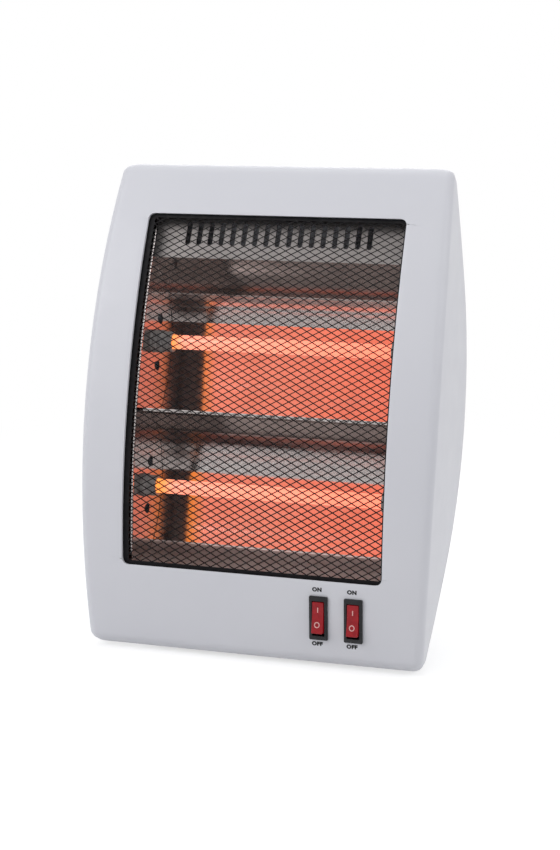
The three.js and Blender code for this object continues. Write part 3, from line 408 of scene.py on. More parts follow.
def glowing_quartz():
    """Clear quartz lit from inside: salmon, redder to the right and yellow by its left cap."""
    f = Finish("glowing_quartz", Alpha=0.86, Emission_Strength=1.0, Specular_IOR_Level=0.6)
    across = f.node("SeparateXYZ", "X", {"Vector": f.place})
    body = f.patches((1.45, 0.40, 0.255), (1.6, 0.45, 0.295), 45, 2)
    body = f.mixed(f.ranged(across, 0, 1, -0.02, 0.09), body, (1.6, 0.335, 0.195))
    f.feed("Emission Color", f.mixed(f.ranged(across, 0, 1, -0.068, -0.079), body, (1.5, 0.44, 0.08)))
    f.colours((0.20, 0.06, 0.045), (0.28, 0.09, 0.06), 60)
    return f.roughness(0.08, 0.16, 120).material


def glowing_wire():
    f = Finish("glowing_wire", Emission_Strength=1.0)
    f.feed("Emission Color", f.patches((1.6, 0.42, 0.24), (1.9, 0.55, 0.32), 300, 2))
    return f.colours((0.6, 0.3, 0.15), (0.7, 0.4, 0.2), 300).roughness(0.4, 0.6, 500).material


def red_lens():
    """Translucent red plastic over a small lamp, with a faint red emission. The tip plunger shares it, and
    there that glow is painted, as no lamp is behind it.
    """
    f = Finish("red_lens", Specular_IOR_Level=0.28, Emission_Strength=1.0)
    f.feed("Emission Color", f.patches((0.015, 0.0, 0.0), (0.06, 0.001, 0.002), 160, 1))
    f.colours((0.22, 0.003, 0.008), (0.33, 0.008, 0.014), 240).roughness(0.12, 0.24, 300)
    return f.relief((f.noise(700, 1), 0.06, 0.0001)).material


def glass_sleeve():
    """Woven glass-fibre sleeve: two crossing sets of fine waves."""
    f = Finish("glass_sleeve", Sheen_Weight=0.3)
    waves = []
    for turn in (0.7, -0.7):
        place = f.node("Mapping", "Vector", {"Vector": f.place, "Rotation": (turn, turn, turn)})
        waves.append(f.node("TexWave", "Fac", {"Vector": place, "Scale": 520}, bands_direction="X"))
    f.feed("Base Color", f.mixed(waves[0], (0.66, 0.62, 0.54), (0.84, 0.81, 0.75)))
    f.roughness(0.6, 0.8, 500)
    return f.relief((waves[0], 0.4, 0.0002), (waves[1], 0.4, 0.0002)).material


BLACKS, SPARKED = ((0.008, 0.008, 0.010), (0.015, 0.015, 0.018), 150), (1500, 2, 0.2, 0.0001)

SHELL = shell_plastic()
ENAMEL = plain_finish(
    "black_enamel",
    ((0.005, 0.005, 0.006), (0.012, 0.011, 0.012), 220),
    (0.42, 0.6, 300),
    (900, 3, 0.25, 0.0001),
    Specular_IOR_Level=0.12,
)
STEEL = polished_steel("polished_steel")
PLATE_STEEL = polished_steel("plate_steel", 0.05, 1.25)
SATIN_STEEL = polished_steel("satin_steel", 0.36, 0.52)
LIP_STEEL = polished_steel("lip_steel", 0.30, 1.2)
ZINC = plain_finish(
    "zinc_plate",
    ((0.52, 0.53, 0.55), (0.66, 0.66, 0.64), 180),
    (0.28, 0.48, 400),
    (1200, 3, 0.15, 0.0001),
    Metallic=1.0,
)
BRASS = plain_finish(
    "tinned_brass",
    ((0.60, 0.48, 0.24), (0.72, 0.62, 0.36), 260),
    (0.25, 0.42, 500),
    (1500, 2, 0.1, 0.0001),
    Metallic=1.0,
)
CERAMIC, QUARTZ, WIRE, RED, SLEEVE = ceramic(), glowing_quartz(), glowing_wire(), red_lens(), glass_sleeve()
BLACK = plain_finish("black_plastic", BLACKS, (0.30, 0.42, 400), SPARKED, Specular_IOR_Level=0.3)
BEZEL = plain_finish("bezel_plastic", BLACKS, (0.18, 0.30, 400), SPARKED, Specular_IOR_Level=0.3)
RUBBER = plain_finish(
    "rubber",
    ((0.016, 0.016, 0.017), (0.035, 0.034, 0.034), 300),
    (0.7, 0.9, 500),
    (1200, 3, 0.35, 0.0002),
    Specular_IOR_Level=0.3,
)
PRINTED = {"roughness": (0.35, 0.5, 900), "Specular_IOR_Level": 0.2}
MARK = plain_finish("rocker_mark", ((0.70, 0.42, 0.40), (0.78, 0.5, 0.48), 800), **PRINTED)
INK = plain_finish("black_ink", ((0.004, 0.004, 0.005), (0.009, 0.009, 0.010), 800), **PRINTED)
BLOCK = plain_finish("natural_nylon", ((0.66, 0.64, 0.57), (0.74, 0.72, 0.66), 800), **PRINTED)

# ---------------------------------------------------------------- front shell

SWITCH_HOLE = (BEZEL_X / 2 - 0.6, BEZEL_Z / 2 - 1.7)


def between(a, b, pitch):
    """Values from a to b, both included, at about this pitch."""
    count = max(1, round(abs(b - a) / pitch))
    return [a + (b - a) * i / count for i in range(count + 1)]


def chained(*runs):
    """Runs of values joined end to end, each shared end once."""
    values = []
    for run in runs:
        values += [v for v in run if not values or abs(v - values[-1]) > 1e-6]
    return values


def corner_stops(edge, inward):
    """Values from a window's edge inwards over its corner."""
    return [edge + inward * WINDOW_CORNER * (1 - math.cos(t * math.pi / 8)) for t in range(5)]


def front_columns():
    outer = 108.0
    right = chained(
        between(0, SWITCH_X["left"] - SWITCH_HOLE[0], 9),
        [SWITCH_X["left"] + SWITCH_HOLE[0]],
        [SWITCH_X["right"] - SWITCH_HOLE[0]],
        [SWITCH_X["right"] + SWITCH_HOLE[0]],
        sorted(corner_stops(WINDOW_X, -1)),
        between(WINDOW_X, outer, 4),
    )
    return [-x for x in right[:0:-1]] + right


def shell_rows():
    rounded = [HALF_CHORD - END_ROUND + END_ROUND * math.sin(i / 8 * math.pi / 2) for i in range(9)]
    rounded[4] = HALF_CHORD - WALL
    inner = rounded[0]
    return chained(
        [-r for r in rounded[::-1]],
        between(-inner, SWITCH_Z - SWITCH_HOLE[1], 4),
        between(SWITCH_Z - SWITCH_HOLE[1], SWITCH_Z + SWITCH_HOLE[1], 8),
        between(SWITCH_Z + SWITCH_HOLE[1], WINDOW_BOTTOM, 4),
        corner_stops(WINDOW_BOTTOM, 1),
        between(WINDOW_BOTTOM + WINDOW_CORNER, WINDOW_TOP - WINDOW_CORNER, 8),
        sorted(corner_stops(WINDOW_TOP, -1)),
        between(WINDOW_TOP, inner, 5),
        rounded,
    )


def rounded_window(x, z):
    """Moves a point on the window's square corner onto its rounded one."""
    cx = math.copysign(WINDOW_X - WINDOW_CORNER, x)
    cz = WINDOW_TOP - WINDOW_CORNER if z > 0 else WINDOW_BOTTOM + WINDOW_CORNER
    out_x, out_z = (x - cx) * math.copysign(1, x), (z - cz) * math.copysign(1, z)
    if min(out_x, out_z) <= 1e-6 or max(out_x, out_z) <= WINDOW_CORNER - 1e-6:
        return x, z
    turn = out_z / (out_x + out_z) * math.pi / 2
    moved_x = cx + math.copysign(WINDOW_CORNER * math.cos(turn), x)
    return moved_x, cz + math.copysign(WINDOW_CORNER * math.sin(turn), z)


CORNER_STEPS = 8
FLANK = 2 + CORNER_STEPS + 4  # points of a ring from the front's last column to the back


def shell_ring(z, inset, columns):
    """One ring: along the front's columns, round a corner, across the back and round the other."""
    corner = FRONT_CORNER - inset
    drawn = draw_in(z, HALF_CHORD - inset, END_ROUND - inset)
    front = front_y(z) + inset + drawn
    back = rear_y(z) - draw_in(z, HALF_CHORD, END_ROUND)
    across = half_width(z) - inset - drawn
    back_across = side_x(z, back) - inset - drawn
    deep = min(corner, 0.8 * (back - front))
    half = [(columns[-1] + (across - corner - columns[-1]) * t, front) for t in (0.5, 1)]
    for a in arc_steps(CORNER_STEPS)[-2::-1]:
        half.append((across - corner * (1 - math.cos(a)), front + deep * (1 - math.sin(a))))
    for t in (0.25, 0.5, 0.75, 1):
        half.append((across + (back_across - across) * t, front + deep + (back - front - deep) * t))
    ring = [(x, front) for x in columns] + half
    ring += [(back_across * t, back) for t in (0.75, 0.5, 0.25, 0, -0.25, -0.5, -0.75)]
    return ring + [(-x, y) for x, y in half[::-1]]


def front_shell():
    columns, rows = front_columns(), shell_rows()
    inner_end = HALF_CHORD - WALL + 1e-6
    inner_rows = [z for z in rows if abs(z) <= inner_end]
    bm = bmesh.new()

    def surface(heights, inset):
        grid = []
        for z in heights:
            line = []
            for i, (x, y) in enumerate(shell_ring(z, inset, columns)):
                moved_x, moved_z = x, z
                if i < len(columns) and WINDOW_BOTTOM - 1e-6 <= z <= WINDOW_TOP + 1e-6:
                    moved_x, moved_z = rounded_window(x, z)
                line.append(bm.verts.new((moved_x, y + front_y(moved_z) - front_y(z), moved_z)))
            grid.append(line)
        return grid

    outer, inner = surface(rows, 0.0), surface(inner_rows, WALL)
    size = len(outer[0])
    rear_cells = range(len(columns) + FLANK - 1, size - FLANK)

    def is_open(i, low, high):
        """Whether a cell lies in the window, in a switch's hole or in the open back."""
        if i in rear_cells:
            return max(abs(low), abs(high)) <= inner_end
        if i >= len(columns) - 1:
            return False
        x, z = (columns[i] + columns[i + 1]) / 2, (low + high) / 2
        at_switch = any(abs(x - switch) < SWITCH_HOLE[0] for switch in SWITCH_X.values())
        at_window = abs(x) < WINDOW_X and WINDOW_BOTTOM < z < WINDOW_TOP
        return at_window or (at_switch and abs(z - SWITCH_Z) < SWITCH_HOLE[1])

    def skin(grid, heights):
        """Adds the closed cells, and counts how many of them use each edge."""
        uses = {}
        for r, (low, high) in enumerate(zip(heights, heights[1:])):
            for i in range(size):
                if is_open(i, low, high):
                    continue
                j = (i + 1) % size
                bm.faces.new((grid[r][i], grid[r][j], grid[r + 1][j], grid[r + 1][i]))
                key = [(low, i), (low, j), (high, j), (high, i)]
                for a, b in zip(key, key[1:] + key[:1]):
                    uses[frozenset((a, b))] = uses.get(frozenset((a, b)), 0) + 1
        return uses

    outer_uses = skin(outer, rows)
    skin(inner, inner_rows)
    for line in (outer[0], outer[-1], inner[0], inner[-1]):
        bm.faces.new(line)
    # The rims join the two skins round each opening.
    at_outer, at_inner = (
        {(z, i): v for z, line in zip(heights, grid) for i, v in enumerate(line)}
        for heights, grid in ((rows, outer), (inner_rows, inner))
    )
    for edge, uses in outer_uses.items():
        a, b = tuple(edge)
        if uses == 1 and a in at_inner and b in at_inner:
            bm.faces.new((at_outer[a], at_outer[b], at_inner[b], at_inner[a]))
    bmesh.ops.recalc_face_normals(bm, faces=bm.faces)

    def at_lip(v):
        in_window = abs(v.co.x) < WINDOW_X + 0.1 and WINDOW_BOTTOM - 0.1 < v.co.z < WINDOW_TOP + 0.1
        return in_window and abs(v.co.y - front_y(v.co.z)) < 0.05

    corners = [e for e in bm.edges if len(e.link_faces) == 2 and e.calc_face_angle(0) > 1.2]
    bevel(bm, [e for e in corners if all(at_lip(v) for v in e.verts)], 0.7)
    return piece("front_shell", bm, LEANING, SHELL, ["front_frame"], sharp=40)


front_shell()

# ---------------------------------------------------------------- grille

MESH_COLUMNS, MESH_ROWS, STRAND = 21, 50, 0.62
MESH_LEFT, MESH_RIGHT = -91.8, 94.6
GRILLE_BORDER, GRILLE_LIP, GRILLE_SHEET, STRAND_TILT = 3.0, 3.0, 0.5, 0.2
GRILLE_FACE = WALL + FIT + 0.2 + GRILLE_SHEET / 2


def expanded_grille():
    """Expanded sheet: each opening is a cell of four strands, tilted as they are when it is stretched."""
    middle, half_x = (MESH_LEFT + MESH_RIGHT) / 2, (MESH_RIGHT - MESH_LEFT) / 2
    low, high = WINDOW_BOTTOM + GRILLE_BORDER, WINDOW_TOP - GRILLE_BORDER
    pitch_x, pitch_z = 2 * half_x / MESH_COLUMNS, (high - low) / MESH_ROWS
    shrink = 1 - STRAND * math.hypot(pitch_x, pitch_z) / (pitch_x * pitch_z)
    bm = bmesh.new()
    found = {}
    side_stops, end_stops = set(), set()

    def at(x, z, depth=0.0):
        """The sheet's one vertex at a place, measured across from the mesh's middle."""
        key = (round(x, 3), round(z, 3))
        if key not in found:
            found[key] = bm.verts.new((middle + x, front_y(z) + GRILLE_FACE + depth, z))
            if abs(abs(x) - half_x) < 1e-3:
                side_stops.add(round(z, 4))
            if min(abs(z - low), abs(z - high)) < 1e-3:
                end_stops.add(round(x, 4))
        return found[key]

    cell = [(pitch_x / 2, 0), (0, pitch_z / 2), (-pitch_x / 2, 0), (0, -pitch_z / 2)]
    for row in range(2 * MESH_ROWS + 1):
        z = low + row * pitch_z / 2
        for step in range(MESH_COLUMNS + (row % 2)):
            x = -half_x + (step + (0 if row % 2 else 0.5)) * pitch_x
            for (ax, az), (bx, bz) in zip(cell, cell[1:] + cell[:1]):
                if abs(x + (ax + bx) / 2) > half_x or not low < z + (az + bz) / 2 < high:
                    continue
                strand = [at(x + ax, z + az), at(x + bx, z + bz)]
                for px, pz in ((bx, bz), (ax, az)):
                    tilt = STRAND_TILT * 2 * pz / pitch_z
                    strand.append(at(x + px * shrink, z + pz * shrink, tilt))
                bm.faces.new(strand)
    outer_x = WINDOW_X + GRILLE_LIP
    side_line, end_line = sorted(side_stops), sorted(end_stops)

    def strip(a, b):
        for i in range(len(a) - 1):
            bm.faces.new((a[i], a[i + 1], b[i + 1], b[i]))

    # Each side folds back into a return, and each end has a plain border.
    fold, back_depth = 1.0, SETBACK - 2 * FIT
    bends = [(0.3 * fold, GRILLE_FACE + 0.3 * fold), (0, GRILLE_FACE + fold), (0, back_depth)]
    for side in (-1, 1):
        lines = [[at(x, z) for z in side_line] for x in (side * half_x, side * (outer_x - fold) - middle)]
        for short, depth in bends:
            x = side * (outer_x - short)
            lines.append([bm.verts.new((x, front_y(z) + depth, z)) for z in side_line])
        for a, b in zip(lines, lines[1:]):
            strip(a, b)
    stops = [fold - outer_x - middle, *end_line, outer_x - fold - middle]
    for z, far in ((low, low - GRILLE_BORDER - GRILLE_LIP), (high, high + GRILLE_BORDER + GRILLE_LIP)):
        strip([at(x, z) for x in stops], [at(x, far) for x in stops])
    obj = piece("expanded_grille", bm, LEANING, ENAMEL, ["grille"], sharp=28)
    solid = obj.modifiers.new("thickness", "SOLIDIFY")
    solid.thickness, solid.offset = GRILLE_SHEET * MM, 0
    obj.data = evaluated(obj)
    obj.modifiers.clear()
    smoothed(obj.data, 28)


expanded_grille()

# ---------------------------------------------------------------- reflectors and end plates


def flange_y(z):
    return front_y(z) + SETBACK


def curve_through(points, steps=7):
    """A smooth line through [y, z] points."""
    line = []
    ends = [Vector(p) for p in (points[0], *points, points[-1])]
    for a, b, c, d in zip(ends, ends[1:], ends[2:], ends[3:]):
        for i in range(steps):
            t = i / steps
            bend = (2 * a - 5 * b + 4 * c - d) * t * t + (3 * b - a - 3 * c + d) * t**3
            line.append(tuple(0.5 * (2 * b + (c - a) * t + bend)))
    line.append(tuple(points[-1]))
    return line


FIN_BEND = 4.0
FOCAL = TROUGH_BACK - TUBE_Y


def focused(level, lean, offsets):
    """Points of a leaning parabola that has this tube at its focus, at offsets above the tube."""
    return [(TROUGH_BACK - s * s / (4 * FOCAL) - lean * s, TUBES[level][0] + s) for s in offsets]


def flat_sheet(outlines, thickness):
    """A flat sheet in x and y: the first outline is its edge and the others are holes."""
    curve = bpy.data.curves.new("sheet", "CURVE")
    curve.dimensions, curve.fill_mode, curve.extrude = "2D", "BOTH", thickness / 2
    for outline in outlines:
        spline = curve.splines.new("POLY")
        spline.points.add(len(outline) - 1)
        spline.use_cyclic_u = True
        for point, (x, y) in zip(spline.points, outline):
            point.co = (x, y, 0, 1)
    return taken(in_scene("sheet", curve), 1e-4)


VENTS, VENT_PITCH, VENT_WIDTH, VENT_LENGTH = 17, 8.5, 3.8, 18.4


def slotted_panel(low, high):
    """The flat vent panel between two [y, z] points: a sheet with rounded slots."""
    along = Vector(high) - Vector(low)
    edge = REFLECTOR_X - FIT
    outlines = [[(-edge, 0), (edge, 0), (edge, along.length), (-edge, along.length)]]
    middle = (WINDOW_TOP - 12.6 - low[1]) / (along.y / along.length)
    half, radius = VENT_LENGTH / 2, VENT_WIDTH / 2
    arc = [math.pi * t / 8 for t in range(9)]
    for i in range(VENTS):
        x = (i - (VENTS - 1) / 2) * VENT_PITCH
        top = [(x + radius * math.cos(a), middle + half - radius + radius * math.sin(a)) for a in arc]
        bottom = [(x - radius * math.cos(a), middle - half + radius - radius * math.sin(a)) for a in arc]
        outlines.append(top + bottom)
    bm = flat_sheet(outlines, SHEET)
    turn = math.atan2(along.y, along.x)
    bmesh.ops.transform(bm, matrix=Matrix.Rotation(turn, 4, "X"), verts=bm.verts)
    back = Vector((0, math.sin(turn), -math.cos(turn))) * SHEET / 2
    bmesh.ops.translate(bm, vec=Vector((0, *low)) + back, verts=bm.verts)
    return bm


def fin(away, depth):
    """The fin between the troughs, from its front edge to its bend."""
    z = RIDGE_Z + away * (SHEET + FIT / 2)
    return [(flange_y(RIDGE_Z), z), (depth - FIN_BEND, z), (depth, z + away * 0.5 * (away < 0))]


def reflectors():
    tube = TUBES["upper"][0]
    top = [(44.3, 19), (43.4, 21), (42, 24), (40, 28), (38.9, 30), (36.6, 34), (34.2, 37.6), (33, 39.2)]
    offsets = (-50.3, -49, -45, -38, -30, -20, -10, 0, 10, 16, 18)
    line = [
        *fin(1, 33.3),
        *curve_through([*focused("upper", 0.041, offsets), *[(y, tube + s) for y, s in top]]),
        (20, tube + 46.2),
        (7, tube + 53.2),
        (flange_y(UPPER_TOP), UPPER_TOP),
    ]
    bm = bm_extrude_x(thickened(line, -SHEET), -REFLECTOR_X + FIT, REFLECTOR_X - FIT)
    piece("upper_trough", bm, LEANING, STEEL, ["reflector_upper"], sharp=20)
    low = (flange_y(UPPER_TOP), UPPER_TOP + FIT / 2)
    high = (flange_y(WINDOW_TOP + 6), WINDOW_TOP + 6)
    piece("vent_panel", slotted_panel(low, high), LEANING, SATIN_STEEL, (), sharp=30)
    tube, end = TUBES["lower"][0], WINDOW_BOTTOM - 7.8
    top = [(32.2, 41.9), (33.7, 39.7), (37.3, 34), (40.5, 28), (43.1, 22), (45.3, 16)]
    offsets = (10, 0, -10, -20, -30, -37, -41)
    line = [
        *fin(-1, 12),
        (22.5, tube + 47.7),
        *curve_through([*[(y, tube + s) for y, s in top], *focused("lower", 0, offsets)]),
    ]
    bm = bm_extrude_x(thickened(line, SHEET), -REFLECTOR_X + FIT, REFLECTOR_X - FIT)
    piece("lower_trough", bm, LEANING, STEEL, ["reflector_lower"], sharp=20)
    lip = curve_through(
        [
            *focused("lower", 0, (-41, -43)),
            (26, tube - 48.6),
            (11, tube - 53.6),
            (flange_y(WINDOW_BOTTOM), WINDOW_BOTTOM),
            (flange_y(end), end),
        ]
    )
    bm = bm_extrude_x(thickened(lip, SHEET), -REFLECTOR_X + FIT, REFLECTOR_X - FIT)
    piece("lower_lip", bm, LEANING, LIP_STEEL, (), sharp=30)


reflectors()

CAP_RADIUS, SHIELD_Y, FLANGE_REACH = 8.5, 53.4, 116.0


def cover_skin(z):
    """The rear cover's outside, just below the side walls' rear edge."""
    return rear_y(z) - draw_in(z, HALF_CHORD, END_ROUND) - 1


def end_plate(side, sign):
    """A flat plate with a round hole for each cap and a drop-shaped vent above and below it."""
    heights = between(WINDOW_BOTTOM - 9, WINDOW_TOP + 4, 9)
    bend = 1.6
    rear = [(min(SHIELD_Y - FIT, cover_skin(z) - 7.3), z) for z in heights]
    outlines = [[(flange_y(z) + bend, z) for z in heights] + rear[::-1]]
    hole, across, up = CAP_RADIUS + FIT, 5.6, 3.7
    for tube, _ in TUBES.values():
        outlines.append([(TUBE_Y + hole * math.cos(a), tube + hole * math.sin(a)) for a in full_turn(40)])
        for away in (-17.5, 17.5):
            drop = [(math.cos(a), math.sin(a) * (1 + 0.35 * math.cos(a))) for a in full_turn(40)]
            outlines.append([(TUBE_Y + 10 + across * y, tube + away + up * z) for y, z in drop])
    bm = flat_sheet(outlines, SHEET)
    middle = sign * (REFLECTOR_X + SHEET / 2)
    upright = Matrix(((0, 0, 1, middle), (1, 0, 0, 0), (0, 1, 0, 0), (0, 0, 0, 1)))
    bmesh.ops.transform(bm, matrix=upright, verts=bm.verts)
    # Its front edge turns outwards in a small bend and becomes the flange.
    outer, inner = (
        [(REFLECTOR_X + bend - r * math.cos(a), bend - r * math.sin(a)) for a in arc_steps(5)]
        for r in (bend, bend - SHEET)
    )
    section = [*outer, (FLANGE_REACH, 0), (FLANGE_REACH, SHEET), *inner[::-1]]
    add_to(bm, lofted([[(sign * x, flange_y(z) + y, z) for x, y in section] for z in heights]))
    plate = f"end_plate_{side}"
    piece(f"side_plate_{side}", bm, LEANING, PLATE_STEEL, [plate], sharp=30)


end_plate("left", -1)
end_plate("right", 1)

# ---------------------------------------------------------------- tubes, coils and caps


RIGHT_CAP_END, IN_CAP = 87.5, 4.0


def along_x(x, z):
    """A frame whose z runs to the right along a tube's axis, from x."""
    return LEANING @ Matrix.Translation((x, TUBE_Y, z)) @ Matrix.Rotation(math.pi / 2, 4, "Y")


def tube_ends(shift):
    """Where a tube starts and ends, inside its caps."""
    return shift - CAP_INNER_END - IN_CAP, RIGHT_CAP_END + IN_CAP


def quartz_tube(level, z, shift):
    left, right = tube_ends(shift)
    inside = TUBE_RADIUS - 1
    corners = [(inside, left), (TUBE_RADIUS, left), (TUBE_RADIUS, right), (inside, right)]
    bm = bm_lathe(softened(corners, 0.3), 48)
    name = f"quartz_tube_{level}"
    piece(f"glass_{level}", bm, along_x(0, z), QUARTZ, [name])


def heating_coil(level, z, shift):
    """The resistance wire: one unbroken close helix."""
    turns, radius, wire, steps = 96, 2.7, 0.32, 16
    left, right = tube_ends(shift)
    total = turns * steps
    rings = []
    for i in range(total + 1):
        angle = 2 * math.pi * i / steps
        outward = Vector((math.cos(angle), math.sin(angle), 0))
        centre = outward * radius + Vector((0, 0, left + (right - left) * i / total))
        section = [outward * math.cos(a) + Vector((0, 0, 1)) * math.sin(a) for a in full_turn(6)]
        rings.append([centre + wire * offset for offset in section])
    name = f"heating_coil_{level}"
    piece(f"coil_wire_{level}", lofted(rings), along_x(0, z), WIRE, [name], sharp=60)


def cap_profile(length):
    """From its inner end outwards: a mouth for the glass, a collar, a ribbed barrel and a neck."""
    mouth, collar, barrel = TUBE_RADIUS + FIT, 7.6, 8.5
    profile = [(0, 5), (mouth, 5), (mouth, 0), (collar, 0), (collar, 7.0), (barrel, 8.2)]
    z = 8.6
    while z < length - 9:
        profile += [(barrel, z + 1.6), (barrel - 0.55, z + 2.1), (barrel - 0.55, z + 2.8), (barrel, z + 3.3)]
        z += 3.6
    profile += [(barrel, length - 6), (6, length - 4), (6, length), (0, length)]
    return softened(profile, 0.5, 2)


for level, (tube_z, tube_shift) in TUBES.items():
    quartz_tube(level, tube_z, tube_shift)
    heating_coil(level, tube_z, tube_shift)
    for side_name, sign in (("left", -1), ("right", 1)):
        outer_end = sign * (CAP_INNER_END + CAP_LENGTH) + tube_shift
        inner_end = tube_shift - CAP_INNER_END if sign < 0 else RIGHT_CAP_END
        cap = bm_lathe(cap_profile(abs(outer_end - inner_end)), 40)
        cap_place = along_x(inner_end, tube_z) @ Matrix.Rotation(math.pi * (sign < 0), 4, "Y")
        cap_node = f"ceramic_cap_{level}_{side_name}"
        piece(f"cap_{level}_{side_name}", cap, cap_place, CERAMIC, [cap_node], sharp=50)

# ---------------------------------------------------------------- rocker switches


def bezel_frame(side, x):
    """Bezel with a rounded outer edge, a raised inner rim and the housing's walls behind it."""
    half_x, half_z = BEZEL_X / 2, BEZEL_Z / 2
    mouth_x, mouth_z = ROCKER_WIDTH / 2 + 0.35, ROCKER_HALF + 1.6
    body_x, body_z = half_x - 0.9, half_z - 2
    y_face, y_seat, y_end, y_floor = -FIT - BEZEL_THICK, -FIT, 20.0, 11.0
    rim = 0.7
    loops = [
        (body_x, body_z, 0.5, y_end),
        (body_x, body_z, 0.5, y_seat),
        (half_x, half_z, 0.9, y_seat),
        (half_x, half_z, 0.9, y_face + 0.9),
        (half_x - 0.2, half_z - 0.2, 0.8, y_face + 0.5),
        (half_x - 0.6, half_z - 0.6, 0.7, y_face + 0.28),
        (mouth_x + rim + 0.35, mouth_z + rim + 0.35, 0.9, y_face + 0.22),
        (mouth_x + rim, mouth_z + rim, 0.8, y_face),
        (mouth_x + 0.15, mouth_z + 0.15, 0.6, y_face),
        (mouth_x, mouth_z, 0.5, y_face + 0.2),
        (mouth_x, mouth_z, 0.5, y_floor),
    ]
    bm = lofted([[(px, y, pz) for px, pz in rounded_outline(hx, hz, r)] for hx, hz, r, y in loops])
    piece(f"bezel_{side}", bm, on_face(x, SWITCH_Z), BEZEL, [f"switch_housing_{side}"])


def rocker_place(x):
    return (
        on_face(x, SWITCH_Z)
        @ Matrix.Translation((0, PIVOT_Y, 0))
        @ Matrix.Rotation(-ROCKER_TILT, 4, "X")
    )


FACE_END, FACE_MIDDLE = -4.4 - PIVOT_Y, -3.4 - PIVOT_Y


def rocker_face(z):
    """Depth of the rocker's shallow valley at a height."""
    return FACE_MIDDLE + (FACE_END - FACE_MIDDLE) * (z / ROCKER_HALF) ** 2


def rocker_paddle(side, x):
    """The rocker: its face is a shallow valley, its edges are rounded and its belly is hidden."""
    face = [(rocker_face(z), z) for z in between(-ROCKER_HALF, ROCKER_HALF, 1.2)]
    belly = [(-3.6, ROCKER_HALF), (1.2, 7), (3.6, 2.4), (3.6, -2.4), (1.2, -7), (-3.6, -ROCKER_HALF)]
    bm = bm_extrude_x(face + belly, -ROCKER_WIDTH / 2, ROCKER_WIDTH / 2)
    bmesh.ops.recalc_face_normals(bm, faces=bm.faces)
    front = [e for e in bm.edges if all(v.co.y < -3.5 for v in e.verts)]
    bevel(bm, [e for e in front if e.calc_face_angle(0) > 0.6], 0.55, 4)
    add_to(bm, bm_lathe(rod(1, -5, 5), 20), Matrix.Rotation(math.pi / 2, 4, "Y"))
    body = f"rocker_{side}"
    piece(f"paddle_{side}", bm, rocker_place(x), RED, [body], body)
    # I on the upper half and O on the lower half, printed on the face.
    proud, thick, radius, width = 0.06, 0.12, 2.0, 0.6
    mark = bm_box(-0.32, 0.32, 0, thick, 3.9, 7.4)
    upright = [e for e in mark.edges if abs(e.verts[0].co.z - e.verts[1].co.z) > 1]
    bmesh.ops.subdivide_edges(mark, edges=upright, cuts=4)
    ring = [(radius - width, 0), (radius - width, thick), (radius, thick), (radius, 0)]
    ring_place = Matrix(((1, 0, 0, -0.2), (0, 0, 1, 0), (0, 1.05, 0, -5.0), (0, 0, 0, 1)))
    add_to(mark, bm_lathe(ring, 28), ring_place)
    for v in mark.verts:
        v.co.y += rocker_face(v.co.z) - proud
    piece(f"rocker_marks_{side}", mark, rocker_place(x), MARK, (), body)


LABELS, CAP_HEIGHT = {"ON": -124.7, "OFF": -163.4}, 2.6


def label(name, words, x, z):
    """Lettering printed on the bowed face."""
    text = bpy.data.curves.new(name, "FONT")
    text.body = words
    text.align_x, text.align_y = "CENTER", "CENTER"
    text.size, text.offset, text.extrude = CAP_HEIGHT / 0.70, 0.1 * CAP_HEIGHT, 0.03
    text.space_character = 1.12
    bm = taken(in_scene(name, text), 1e-5)
    for v in bm.verts:
        across, up, out = v.co
        v.co = Vector((x + 1.1 * across, front_y(z + up) - out - 0.01, z + up))
    piece(name, bm, LEANING, INK, (), shown_smooth=False)


for side_name, switch_x in SWITCH_X.items():
    bezel_frame(side_name, switch_x)
    rocker_paddle(side_name, switch_x)
    for words, height in LABELS.items():
        label(f"label_{words.lower()}_{side_name}", words, switch_x - 1.2, height)

# ---------------------------------------------------------------- rear cover

COVER_WALL, COVER_SKIRT, COVER_CORNER = 2.3, 8.0, 1.5
COVER_END, COVER_ROUND = HALF_CHORD - WALL - FIT, END_ROUND - WALL - FIT
PLINTH_X, PLINTH_REAR, HEEL_HEIGHT, FOOT_HEIGHT = 82.0, 75.0, 20.0, 3.0
SHOULDER_Z = 102 - HALF_CHORD
HANDLE_X, HANDLE_DEPTH, HANDLE_LOW, HANDLE_HIGH, HANDLE_HOOK = 50.0, 22.0, 119.5, 142.5, 13.0
LOUVRE_ROWS = [103.5 - 9 * i for i in range(6)] + [-34.0 - 9 * i for i in range(4)]
LOUVRE_X, LOUVRE_HALF, LOUVRE_RISE = 51.0, 46.0, 2.0
INLET_X, INLET_Z, INLET_RADIUS = 48.0, 13.0, 4.6
SEAT_COLUMN, HEAD_BORE, SHANK_BORE = 5.6, 3.9, 2.0
COVER_SCREWS = [(sx * 110, sz * 148, 9) for sx in (-1, 1) for sz in (-1, 1)]
COVER_SCREWS += [(-118.5, 8, 8), (118.5, 8, 8)]
TO_LEANING = LEANING.inverted() @ FLOOR


def floor_point(y, z):
    """A point of the leaning frame in the floor frame."""
    back, up = leaned(y, z)
    return back, up + ORIGIN.z / MM


def cover_ring(z, inset, forward):
    back = cover_skin(z) - inset
    front = cover_skin(z) - COVER_SKIRT - forward
    drawn = draw_in(z, COVER_END - inset, max(COVER_ROUND - inset, 0.5))
    across = side_x(z, rear_y(z)) - WALL - FIT - inset - drawn
    r = COVER_CORNER
    corner = [(across - r + r * math.cos(a), back - r + r * math.sin(a)) for a in arc_steps(4)]
    right = [(across, front), *corner]
    return [(x, y, z) for x, y in right] + [(-x, y, z) for x, y in right[::-1]]


def cover_loft(inset, forward):
    end, rounding = COVER_END - inset, max(COVER_ROUND - inset, 0.5)
    turn = [end - rounding + rounding * math.sin(a) for a in arc_steps(5)]
    heights = chained([-z for z in turn[::-1]], between(-turn[0], turn[0], 6), turn)
    return lofted([cover_ring(z, inset, forward) for z in heights])


PLINTH_FRONT = floor_point(cover_skin(-COVER_END), -COVER_END)[0] + 5


